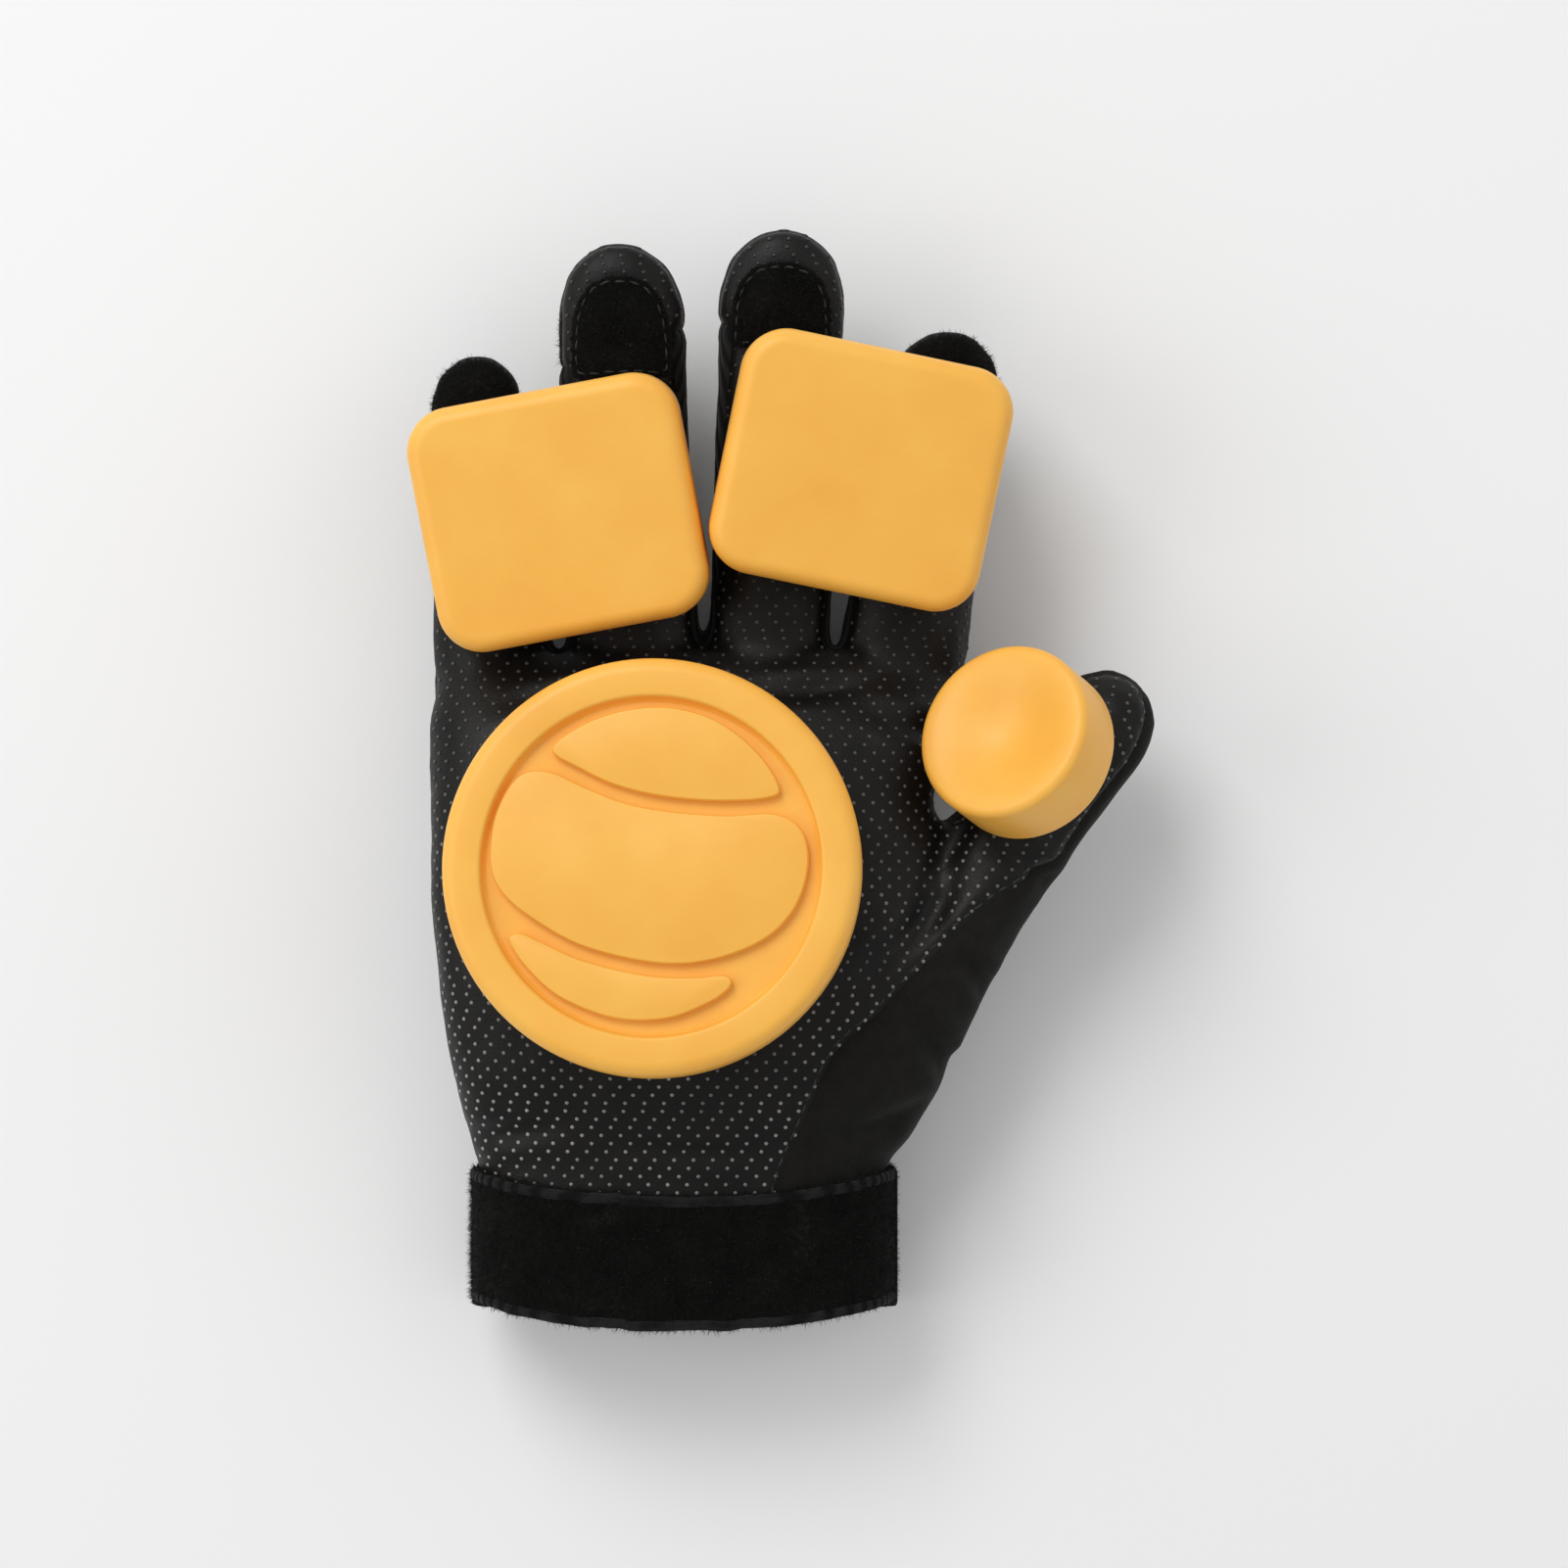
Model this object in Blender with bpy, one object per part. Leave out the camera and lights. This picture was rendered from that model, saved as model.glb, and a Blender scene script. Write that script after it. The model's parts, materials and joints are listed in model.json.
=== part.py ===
"""Longboard slide glove for the right hand, lying on its back with the palm up.

Sizes are in millimetres and are turned into metres when a mesh is made. +X points to the thumb,
+Y to the fingertips and +Z out of the palm, so the back of the hand and its knuckle guard face down.
The glove is one hollow body of leather and cloth cut into panels, with stiff pieces laid on it.
"""

import math

import bmesh
import bpy
from mathutils import Matrix, Vector
from mathutils.bvhtree import BVHTree

MM = 0.001

# Clearances and the cloth wall
GAP = 0.3            # between neighbouring pieces
SEAT = 0.85          # between a stiff piece and the faceted cloth that it follows
CLOTH = 1.8          # wall of leather, mesh fabric and knit
FAR = 300.0          # well outside the glove: where cutting solids end and search rays start

# Stiff pieces that stand between the back of the glove and the table
GUARD_THICKNESS = 2.2
DOME_HEIGHT = 9.6
PAD_HEIGHT = 6.2
LABEL_THICKNESS = 1.0
STRAP_THICKNESS = 2.0
BAND_THICKNESS = 2.0

# Hand, from the wrist opening to the crotches of the fingers
HAND_X = -18.5       # its middle line
WRIST_Y = -113.0
HAND_LENGTH = 141.0
HAND_WIDTH = 117.0
HAND_THICKNESS = 34.0
HAND_SIDES = 26
HAND_INNER_SIDES = 16
BACK_SQUARENESS = 3.0
PALM_SQUARENESS = 2.9
HAND_SECTIONS = (
    # along, left, right, thick, rise: shares of the length, half the width and the thickness
    (0.000, 0.822, 0.695, 1.00, 0.00),
    (0.203, 0.822, 0.695, 1.00, 0.00),
    (0.255, 0.868, 0.805, 1.01, 0.00),
    (0.333, 0.912, 0.915, 1.03, 0.00),
    (0.479, 0.970, 1.000, 1.04, 0.00),
    (0.624, 1.003, 0.935, 1.02, 0.00),
    (0.766, 1.003, 0.872, 0.99, 0.00),
    (0.896, 1.016, 0.945, 0.90, 0.01),
    (1.000, 0.965, 0.965, 0.53, 0.10),
)

# Fingers: each runs straight from the crotch line to a round tip, and bends up along one radius
FINGER_LENGTH = 92.6     # middle finger
FINGER_WIDTH = 28.5
FINGER_THICKNESS = 21.5
FINGER_SIDES = 12
FINGER_INNER_SIDES = 8
FINGER_SQUARENESS = 2.3
CURL_RADIUS = 300.0
CURL_START = 0.875       # share of the hand's length where the bend starts
FINGERS = (
    # name, root, tip: shares of half the hand's width; length, width, taper, thick: shares of a finger
    ("pinky", -0.783, -0.846, 0.713, 0.947, 0.78, 0.88),
    ("ring", -0.258, -0.299, 0.969, 1.040, 0.96, 1.00),
    ("middle", 0.260, 0.320, 1.000, 0.940, 1.06, 1.00),
    ("index", 0.766, 0.954, 0.767, 1.000, 0.91, 1.00),
)
FINGER_SECTIONS = (
    # along (share of the straight stretch), thick (share of the finger's thickness)
    (-0.20, 0.86),
    (0.00, 1.00),
    (0.35, 0.97),
    (0.70, 0.89),
    (1.00, 0.80),
)
TIP_ANGLES = (35.0, 65.0)

# Thumb: a bent cone that is rolled, so that its front faces the fingers
THUMB_ROOT = (25.0, -50.0)
THUMB_LENGTH = 89.0
THUMB_WIDTH = 26.0
THUMB_THICKNESS = 22.5
THUMB_SIDES = 12
THUMB_INNER_SIDES = 8
THUMB_SQUARENESS = 2.2
THUMB_LEAN = math.radians(35.4)
THUMB_ROLL = math.radians(35.0)
THUMB_HEIGHT = 30.0      # middle of the thumb above the table
THUMB_SECTIONS = (
    # along, bow: shares of the length; wide, thick: shares of the width and the thickness
    (0.00, 0.000, 1.34, 1.16),
    (0.17, -0.020, 1.24, 1.10),
    (0.36, -0.026, 1.13, 1.05),
    (0.57, -0.015, 1.02, 1.00),
    (0.86, 0.000, 0.97, 0.92),
)

# Panels
FOURCHETTE_WIDTH = 10.0
FOURCHETTE_END = 0.93    # share of a finger's straight stretch
FOURCHETTE_START = 0.08  # share of a finger's width, from its middle line, where the cut begins
THUMB_SEAM = (
    # x, y on the palm side: shares of half the hand's width and of its length, from the wrist opening
    (0.24, -0.15), (0.30, 0.187), (0.50, 0.385), (0.72, 0.468), (0.94, 0.567), (1.12, 0.625), (1.34, 0.687),
)
THUMB_BACK_SEAM = (
    (0.50, -0.15), (0.53, 0.187), (0.80, 0.395), (0.88, 0.583), (0.88, 0.765), (1.08, 0.833), (1.12, 1.052),
)
THUMB_SPLIT = 0.45       # share of the hand's length whose seam height parts the thumb's two sides
SEAM_STATIONS = (-0.106, 0.0, 0.177, 0.305, 0.411, 0.589, 0.766, 0.872, 0.943, 1.0)     # shares of that length

# Cuff
CUFF_SIDES = 28
BAND_WIDTH = 29.5
BAND_TOP = -84.7         # at the sides of the wrist
BAND_BOW = 5.0           # how far the band's edges dip in the middle of the palm
STRAP_WIDTH = 31.0
STRAP_START = math.radians(-14.0)     # angles round the wrist from the thumb side, past the back
STRAP_END = math.radians(-163.0)
LABEL_WIDTH = 56.0
LABEL_LENGTH = 23.0
LABEL_SHARE = 0.04       # of the hand's width, from the middle of the wrist to the thumb side

# Knuckle guard
GUARD_WIDTH = 107.0
GUARD_LENGTH = 75.0
GUARD_CENTRE = (-20.5, -30.5)
GUARD_TOP = 0.445        # middle of the scalloped edge: share of the guard's length from its centre
GUARD_TOP_FROM, GUARD_TOP_TO = -0.455, 0.390
GUARD_TOP_CREST = 0.08   # where the crest of one scallop lies, in the same shares
GUARD_LOBE = 0.262       # from one scallop to the next: share of the guard's width
GUARD_LOBE_DEPTH = 0.052
GUARD_SIDES = (
    # across, along: shares of the guard's width and length from its centre, down the thumb side,
    # along the two lobes of the lower edge and up the little finger's side
    (0.440, 0.350), (0.477, 0.200), (0.490, 0.045), (0.480, -0.090), (0.430, -0.250), (0.350, -0.380),
    (0.265, -0.465), (0.180, -0.495), (0.080, -0.475), (-0.035, -0.435), (-0.150, -0.460),
    (-0.235, -0.475), (-0.330, -0.430), (-0.400, -0.345), (-0.465, -0.160), (-0.494, 0.060),
    (-0.500, 0.240), (-0.490, 0.355),
)
DOME_WIDTH = 96.0
DOME_LENGTH = 38.0
DOME_CENTRE = (-23.0, -29.5)
DOME_SEAT = 0.85         # clearance between the long faces of the dome and of its base
DOME_EDGE = 1.2
DOME_LOBES = 4
DOME_VALLEY = 0.22       # depth of the valleys between the lobes, as a share of the height
INLAY_THICKNESS = 0.7
INLAY_SEAT = 0.8
CRESCENT_WIDTH = 15.0
CRESCENT_LENGTH = 6.4
CRESCENTS = (
    # across, along: shares of the guard's width and length from its centre; turn in degrees
    (-0.425, 0.285, 38.0), (-0.190, 0.365, 0.0), (0.088, 0.360, -4.0), (0.362, 0.285, -34.0),
)
STRIPE_SPAN = 76.0
STRIPE_WIDTH = 4.2
STRIPE_SAG = 1.6
STRIPE_Y = -57.2
BAR_LENGTH = 11.0
BAR_WIDTH = 1.6
BAR_SLANT = 0.10
BAR_SPREAD = 31.0
BARS = (
    # name and middle in y
    ("red", -51.0), ("white", -53.4),
)

# Pieces on the backs of the fingers
PATCH_LENGTH = 32.0
PATCH_WIDTH = 16.0
PATCH_THICKNESS = 1.3
PATCH_OUTLINE = (
    # across, along: shares of the width and length, with the notch at the bottom
    (0.29, 1.00), (0.40, 0.95), (0.57, 0.74), (0.75, 0.50), (0.92, 0.22), (1.00, 0.09), (0.92, 0.04),
    (0.75, 0.08), (0.56, 0.13), (0.36, 0.05), (0.20, 0.00), (0.08, 0.05), (0.00, 0.24), (0.05, 0.60),
    (0.14, 0.92),
)
PATCH_HEART = (0.42, 0.38)
PATCH_DOTS = (
    # across, along: shares of the patch; radius in shares of its width
    (0.37, 0.705, 0.115), (0.42, 0.52, 0.145), (0.48, 0.315, 0.180),
)
DOT_THICKNESS = 0.8
PATCH_FROM_TIP = {"pinky": 31.0, "ring": 41.0, "middle": 37.0, "index": 27.0}
KNUCKLE_LENGTH = 27.5
PAD_SEAT = 1.35          # clearance of a pad's edge, which crosses the finger's root
PAD_BEND = 0.4           # what the bend of the finger adds under a pad
PAD_FOOT = 1.2           # thickness of a pad at its edge
PAD_SHOULDER = 0.75      # share of its height where a pad turns to its flat top
KNUCKLE_WIDTH = 17.6
KNUCKLE_FROM_TIP = {"pinky": 61.5, "ring": 86.5, "middle": 84.5, "index": 66.0}
GEM_LENGTH = 6.6
GEM_WIDTH = 7.6
GEM_THICKNESS = 1.0
GEM_SEAT = 0.9
GEM_SHARE = 0.25         # of the pad's length, from its middle to the fingertip

# Fingertip patches on the ring and middle fingers, palm side
TIP_PATCH_LENGTH = {"ring": 22.0, "middle": 18.6}
TIP_PATCH_WIDTH = 20.5
TIP_PATCH_THICKNESS = 1.0
TIP_SEAT = 0.7           # clearance on the strongly bent cloth of a fingertip
TIP_PATCH_FROM_TIP = 7.8     # top of the patch below the tip
TIP_PATCH_ARCH = (
    # across, along: shares of the patch's width and length from the middle of its foot, round the arch
    (0.50, 0.04), (0.50, 0.22), (0.50, 0.42), (0.48, 0.60), (0.41, 0.79), (0.29, 0.93), (0.12, 0.995),
    (-0.12, 0.995), (-0.29, 0.93), (-0.41, 0.79), (-0.48, 0.60), (-0.50, 0.42), (-0.50, 0.22), (-0.50, 0.04),
    (-0.44, 0.00), (-0.28, 0.00), (-0.10, 0.00), (0.10, 0.00), (0.28, 0.00), (0.44, 0.00),
)

# Slide pucks
PALM_PUCK_RADIUS = 44.5
PALM_PUCK_THICKNESS = 15.0
PALM_PUCK_CENTRE = (-27.8, -18.5)
PALM_PUCK_TILT = (-0.040, 0.100)     # lean of its face to the little finger and to the fingertips
PALM_PUCK_CHAMFER = 4.5
RECESS_RADIUS = 35.3
RECESS_DEPTH = 2.6
RECESS_LIP = 1.2         # how much wider the recess is at its top
LAND_HEIGHT = 1.9
LAND_DRAFT = 0.9
LANDS = {
    # points in shares of the recess radius
    "lens": ((-0.56, 0.74), (-0.30, 0.91), (0.06, 0.965), (0.42, 0.86), (0.72, 0.58), (0.755, 0.505),
             (0.66, 0.45), (0.30, 0.405), (-0.08, 0.47), (-0.38, 0.62)),
    "kidney": ((-0.62, 0.62), (-0.48, 0.58), (-0.22, 0.42), (0.00, 0.34), (0.28, 0.275), (0.62, 0.33),
               (0.83, 0.33), (0.92, 0.12), (0.86, -0.20), (0.68, -0.48), (0.42, -0.64), (0.15, -0.66),
               (-0.30, -0.49), (-0.66, -0.25), (-0.88, -0.16), (-0.965, 0.00), (-0.84, 0.40)),
    "crescent": ((-0.86, -0.40), (-0.80, -0.37), (-0.55, -0.48), (-0.20, -0.66), (0.14, -0.755),
                 (0.50, -0.755), (0.545, -0.80), (0.30, -0.93), (0.00, -0.97), (-0.35, -0.90),
                 (-0.68, -0.68)),
}
FINGER_PUCK_WIDTH = 59.5
FINGER_PUCK_LENGTH = 53.5
FINGER_PUCK_THICKNESS = 13.0
FINGER_PUCK_CORNER = 9.8
FINGER_PUCK_EDGE = 2.6
FINGER_PUCKS = (
    # name, centre x and y, turn in degrees, lean to the thumb side, lean to the wrist
    ("outer", -48.7, 58.3, 10.5, -0.035, 0.085),
    ("inner", 16.6, 67.3, -11.5, 0.045, 0.085),
)
THUMB_PUCK_RADIUS = 19.6
THUMB_PUCK_THICKNESS = 16.0
THUMB_PUCK_SHARE = 0.70  # along the thumb
THUMB_PUCK_EDGE = 2.2
LOOP_THICKNESS = 1.6
LOOP_SEAT = 1.1
LOOP_MARGIN = 5.0        # how far a loop pad stays inside its puck's edge
PALM_LOOP_MARGIN = 9.0

COLOURS = {
    # red, green, blue, roughness
    "leather": (0.012, 0.011, 0.010, 0.45),
    "mesh": (0.018, 0.018, 0.018, 0.80),
    "knit": (0.010, 0.010, 0.010, 0.90),
    "side": (0.014, 0.013, 0.012, 0.75),
    "loop": (0.008, 0.008, 0.007, 0.95),
    "webbing": (0.013, 0.013, 0.012, 0.85),
    "rubber": (0.010, 0.010, 0.011, 0.35),
    "suede": (0.009, 0.008, 0.008, 0.95),
    "gem": (0.20, 0.21, 0.21, 0.20),
    "yellow": (0.95, 0.90, 0.18, 0.45),
    "white": (0.90, 0.90, 0.90, 0.45),
    "red": (0.80, 0.05, 0.03, 0.45),
    "puck": (0.95, 0.55, 0.11, 0.50),
}

# Heights of the back of the glove, worked out from what lies between it and the table
WRIST_BACK = LABEL_THICKNESS + SEAT + STRAP_THICKNESS + BAND_THICKNESS + 2 * GAP
HAND_BACK = DOME_HEIGHT + DOME_SEAT + GUARD_THICKNESS + SEAT
FINGER_BACK = PAD_HEIGHT + SEAT + PAD_BEND
CROTCH_Y = WRIST_Y + HAND_LENGTH
CURL_Y = WRIST_Y + CURL_START * HAND_LENGTH
BACK_LINE = (
    # along: share of the hand's length; height of the back of the glove
    (0.000, WRIST_BACK), (0.203, WRIST_BACK), (0.416, HAND_BACK), (0.771, HAND_BACK), (0.948, FINGER_BACK),
)

for leftover in list(bpy.data.objects):
    bpy.data.objects.remove(leftover, do_unlink=True)


# Helpers that make objects

def material(name):
    """The Principled BSDF of one kind of surface."""
    found = bpy.data.materials.get(name)
    if found:
        return found
    red, green, blue, roughness = COLOURS[name]
    made = bpy.data.materials.new(name)
    made.use_nodes = True
    surface = made.node_tree.nodes["Principled BSDF"]
    surface.inputs["Base Color"].default_value = (red, green, blue, 1.0)
    surface.inputs["Roughness"].default_value = roughness
    surface.inputs["Metallic"].default_value = 0.0
    made.diffuse_color = (red, green, blue, 1.0)
    return made


def object_of(name, bm, surface=None):
    """Turns a bmesh in millimetres into an object in metres."""
    bmesh.ops.recalc_face_normals(bm, faces=bm.faces[:])
    bmesh.ops.scale(bm, vec=(MM, MM, MM), verts=bm.verts[:])
    mesh = bpy.data.meshes.new(name)
    bm.to_mesh(mesh)
    bm.free()
    made = bpy.data.objects.new(name, mesh)
    bpy.context.scene.collection.objects.link(made)
    if surface:
        mesh.materials.append(material(surface))
        mesh.shade_smooth()
        mesh.set_sharp_from_angle(angle=math.radians(35.0))
    else:
        made.hide_render = True
        made.display_type = "WIRE"
    return made


def loft(name, rings, surface=None):
    """A closed solid through rings of equal point counts, with flat caps on the first and the last."""
    bm = bmesh.new()
    rows = [[bm.verts.new(point) for point in ring] for ring in rings]
    count = len(rows[0])
    for low, high in zip(rows, rows[1:]):
        for k in range(count):
            bm.faces.new((low[k], low[(k + 1) % count], high[(k + 1) % count], high[k]))
    bm.faces.new(rows[0])
    bm.faces.new(rows[-1])
    bmesh.ops.triangulate(bm, faces=bm.faces[:])
    return object_of(name, bm, surface)


def combine(target, other, operation, solver="EXACT"):
    """Applies a Boolean to the target and removes the other object."""
    modifier = target.modifiers.new(operation, "BOOLEAN")
    modifier.operation = operation
    modifier.solver = solver
    modifier.object = other
    graph = bpy.context.evaluated_depsgraph_get()
    result = bpy.data.meshes.new_from_object(target.evaluated_get(graph))
    target.modifiers.clear()
    target.data = result
    bpy.data.objects.remove(other, do_unlink=True)


def copy_of(source, name, surface):
    """A copy of a solid under its own name and material."""
    made = source.copy()
    made.data = source.data.copy()
    made.name = name
    made.data.materials.clear()
    made.data.materials.append(material(surface))
    made.hide_render = False
    made.display_type = "TEXTURED"
    bpy.context.scene.collection.objects.link(made)
    return made


def flattened(target):
    """Joins faces that lie in one plane after cuts and unions."""
    bm = bmesh.new()
    bm.from_mesh(target.data)
    bmesh.ops.dissolve_limit(bm, angle_limit=math.radians(0.5), verts=bm.verts[:], edges=bm.edges[:])
    bm.to_mesh(target.data)
    bm.free()


def skin_of(*objects):
    """A search tree in millimetres over the surfaces of some objects."""
    bm = bmesh.new()
    for each in objects:
        bm.from_mesh(each.data)
    bmesh.ops.scale(bm, vec=(1 / MM, 1 / MM, 1 / MM), verts=bm.verts[:])
    tree = BVHTree.FromBMesh(bm)
    bm.free()
    return tree


# Helpers that work out the glove's form

def along_table(rows, share):
    """Reads one row of a table at a share of its length, with straight runs between the rows."""
    for low, high in zip(rows, rows[1:]):
        if share <= high[0]:
            break
    part = min(max((share - low[0]) / (high[0] - low[0]), 0.0), 1.0)
    return [a + (b - a) * part for a, b in zip(low, high)]


def back_height(y):
    """Height of the back of the glove above the table on the line across the hand at y."""
    share = (y - WRIST_Y) / HAND_LENGTH
    height = BACK_LINE[0][1]
    for (low, low_height), (high, high_height) in zip(BACK_LINE, BACK_LINE[1:]):
        part = min(max((share - low) / (high - low), 0.0), 1.0)
        height += (high_height - low_height) * part * part * (3 - 2 * part)
    past = max(y - CURL_Y, 0.0)
    return height + past * past / (2 * CURL_RADIUS)


def oval(centre, side, up, half_width, half_height, low_power, high_power, count):
    """A ring of points with its own squareness for its lower and upper half."""
    ring = []
    for k in range(count):
        turn = 2 * math.pi * (k + 0.5) / count
        power = high_power if math.sin(turn) > 0 else low_power
        across = math.copysign(abs(math.cos(turn)) ** (2 / power), math.cos(turn))
        rise = math.copysign(abs(math.sin(turn)) ** (2 / power), math.sin(turn))
        ring.append(centre + side * (half_width * across) + up * (half_height * rise))
    return ring


X, Y, Z = Vector((1, 0, 0)), Vector((0, 1, 0)), Vector((0, 0, 1))


def hand_oval(share, inset):
    """The hand's cross-section, inset by a wall or grown by a negative one."""
    along, left, right, thick, rise = along_table(HAND_SECTIONS, share)
    y = WRIST_Y + share * HAND_LENGTH
    half_width = HAND_WIDTH / 4 * (left + right) - inset
    half_height = HAND_THICKNESS / 2 * thick
    middle = HAND_X + HAND_WIDTH / 4 * (right - left)
    centre = Vector((middle, y, back_height(y) + half_height + rise * HAND_THICKNESS))
    count = HAND_INNER_SIDES if inset else HAND_SIDES
    return oval(centre, X, Z, half_width, half_height - inset, BACK_SQUARENESS, PALM_SQUARENESS, count)


def hand_form(name, inset):
    """The hand from the wrist to the crotches. An inset form runs out through the wrist opening."""
    rings = [hand_oval(row[0], inset) for row in HAND_SECTIONS]
    if inset:
        rings[0] = [point - Y * 4 * CLOTH for point in rings[0]]
        rings[-1] = [point - Y * inset for point in rings[-1]]
    return loft(name, rings)


def finger_line(finger):
    """The finger's start on the crotch line, its direction and its length."""
    name, root, tip, length, width, taper, thick = finger
    start = Vector((HAND_X + root * HAND_WIDTH / 2, CROTCH_Y, 0))
    end = Vector((HAND_X + tip * HAND_WIDTH / 2, CROTCH_Y + length * FINGER_LENGTH, 0))
    return start, (end - start).normalized(), (end - start).length


def finger_point(finger, from_tip, across=0.0):
    """A point in plan on a finger, at a distance from its tip and beside its middle line."""
    start, ahead, length = finger_line(finger)
    side = Vector((ahead.y, -ahead.x, 0))
    return start + ahead * (length - from_tip) + side * across


def finger_form(finger, inset):
    """One finger with its round tip."""
    name, root, tip, length_share, width, taper, thick = finger
    start, ahead, length = finger_line(finger)
    side = Vector((ahead.y, -ahead.x, 0))
    radius = FINGER_WIDTH * width * taper / 2
    straight = length - radius
    stations = []
    for along, thick_share in FINGER_SECTIONS:
        part = max(along, 0.0)
        half_width = FINGER_WIDTH * width * (1 + (taper - 1) * part) / 2
        stations.append((along * straight, half_width, thick_share, 1.0))
    last = FINGER_SECTIONS[-1][1]
    for angle in TIP_ANGLES:
        turn = math.radians(angle)
        stations.append((straight + (radius - inset) * math.sin(turn), radius, last, math.cos(turn)))
    stations.append((length - inset, radius, last, 0.12))
    count = FINGER_INNER_SIDES if inset else FINGER_SIDES
    rings = []
    for run, half_width, thick_share, shrink in stations:
        centre = start + ahead * run
        half_height = FINGER_THICKNESS * thick * thick_share / 2
        centre.z = back_height(centre.y) + half_height + FINGER_THICKNESS * (1 - thick) / 2
        wide = (half_width - inset) * shrink
        high = (half_height - inset) * shrink
        rings.append(oval(centre, side, Z, wide, high, FINGER_SQUARENESS, FINGER_SQUARENESS, count))
    return loft(f"{name}_form", rings)


THUMB_AHEAD = Vector((math.sin(THUMB_LEAN), math.cos(THUMB_LEAN), 0))
THUMB_FLAT_SIDE = Vector((math.cos(THUMB_LEAN), -math.sin(THUMB_LEAN), 0))
THUMB_SIDE = THUMB_FLAT_SIDE * math.cos(THUMB_ROLL) + Z * math.sin(THUMB_ROLL)
THUMB_FRONT = Z * math.cos(THUMB_ROLL) - THUMB_FLAT_SIDE * math.sin(THUMB_ROLL)


def thumb_point(share):
    """A point on the thumb's middle line."""
    along, bow, wide, thick = along_table(THUMB_SECTIONS, share)
    root = Vector((THUMB_ROOT[0], THUMB_ROOT[1], THUMB_HEIGHT))
    return root + THUMB_AHEAD * (share * THUMB_LENGTH) + THUMB_FLAT_SIDE * (bow * THUMB_LENGTH)


def thumb_form(inset):
    """The thumb with its round tip."""
    count = THUMB_INNER_SIDES if inset else THUMB_SIDES
    rings = []
    for along, bow, wide, thick in THUMB_SECTIONS:
        half_width = THUMB_WIDTH * wide / 2 - inset
        half_height = THUMB_THICKNESS * thick / 2 - inset
        rings.append(oval(thumb_point(along), THUMB_SIDE, THUMB_FRONT, half_width, half_height,
                          THUMB_SQUARENESS, THUMB_SQUARENESS, count))
    tip_start = THUMB_SECTIONS[-1][0]
    radius = THUMB_LENGTH * (1 - tip_start) - inset
    steps = [(math.sin(math.radians(a)), math.cos(math.radians(a))) for a in TIP_ANGLES] + [(1.0, 0.12)]
    for forward, shrink in steps:
        centre = thumb_point(tip_start) + THUMB_AHEAD * (radius * forward)
        rings.append(oval(centre, THUMB_SIDE, THUMB_FRONT, half_width * shrink, half_height * shrink,
                          THUMB_SQUARENESS, THUMB_SQUARENESS, count))
    return loft("thumb_form", rings)


def glove_form(name, inset):
    """Hand, fingers and thumb as one solid."""
    body = hand_form(name, inset)
    for finger in FINGERS:
        combine(body, finger_form(finger, inset), "UNION")
    combine(body, thumb_form(inset), "UNION")
    return body


# Helpers that cut the glove into panels

def seam_height(y):
    """Height of the seam between the palm side and the back on the line across the glove at y."""
    share = (y - WRIST_Y) / HAND_LENGTH
    if share < 1.0:
        along, left, right, thick, rise = along_table(HAND_SECTIONS, share)
        return back_height(y) + HAND_THICKNESS * (thick / 2 + rise)
    return back_height(y) + FINGER_THICKNESS * 0.46


def half_space(name, above, shift):
    """Everything above or below the seam, as a block under or over it."""
    far = FAR if above else -FAR
    top = CROTCH_Y + FINGER_LENGTH
    stations = [WRIST_Y + HAND_LENGTH * share for share in SEAM_STATIONS]
    stations += [CROTCH_Y + FINGER_LENGTH * share for share in (0.25, 0.5, 0.75, 1.0)] + [top + FAR]
    rings = []
    for y in stations:
        height = seam_height(y) + shift
        rings.append([Vector((-FAR, y, height)), Vector((FAR, y, height)), Vector((FAR, y, far)),
                      Vector((-FAR, y, far))])
    return loft(name, rings)


def fourchette_block(one, other, grow):
    """The space between the hollows of two fingers, near the height of the seam."""
    rings = []
    for share in (-0.10, 0.0, 0.25, 0.5, 0.75, FOURCHETTE_END):
        ends = []
        for finger, toward in ((one, 1), (other, -1)):
            start, ahead, length = finger_line(finger)
            radius = FINGER_WIDTH * finger[4] * finger[5] / 2
            run = share * (length - radius) + (grow if share == FOURCHETTE_END else 0.0)
            ends.append(finger_point(finger, length - run, toward * FOURCHETTE_START * FINGER_WIDTH))
        left, right = ends
        half = FOURCHETTE_WIDTH / 2 + grow
        ring = []
        for point, height in ((left, -half), (right, -half), (right, half), (left, half)):
            ring.append(Vector((point.x, point.y, seam_height(point.y) + height)))
        rings.append(ring)
    return loft("fourchette_block", rings)


def plan_prism(name, points, low, high):
    """An upright block over an outline."""
    return loft(name, [[Vector((x, y, z)) for x, y in points] for z in (low, high)])


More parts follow.
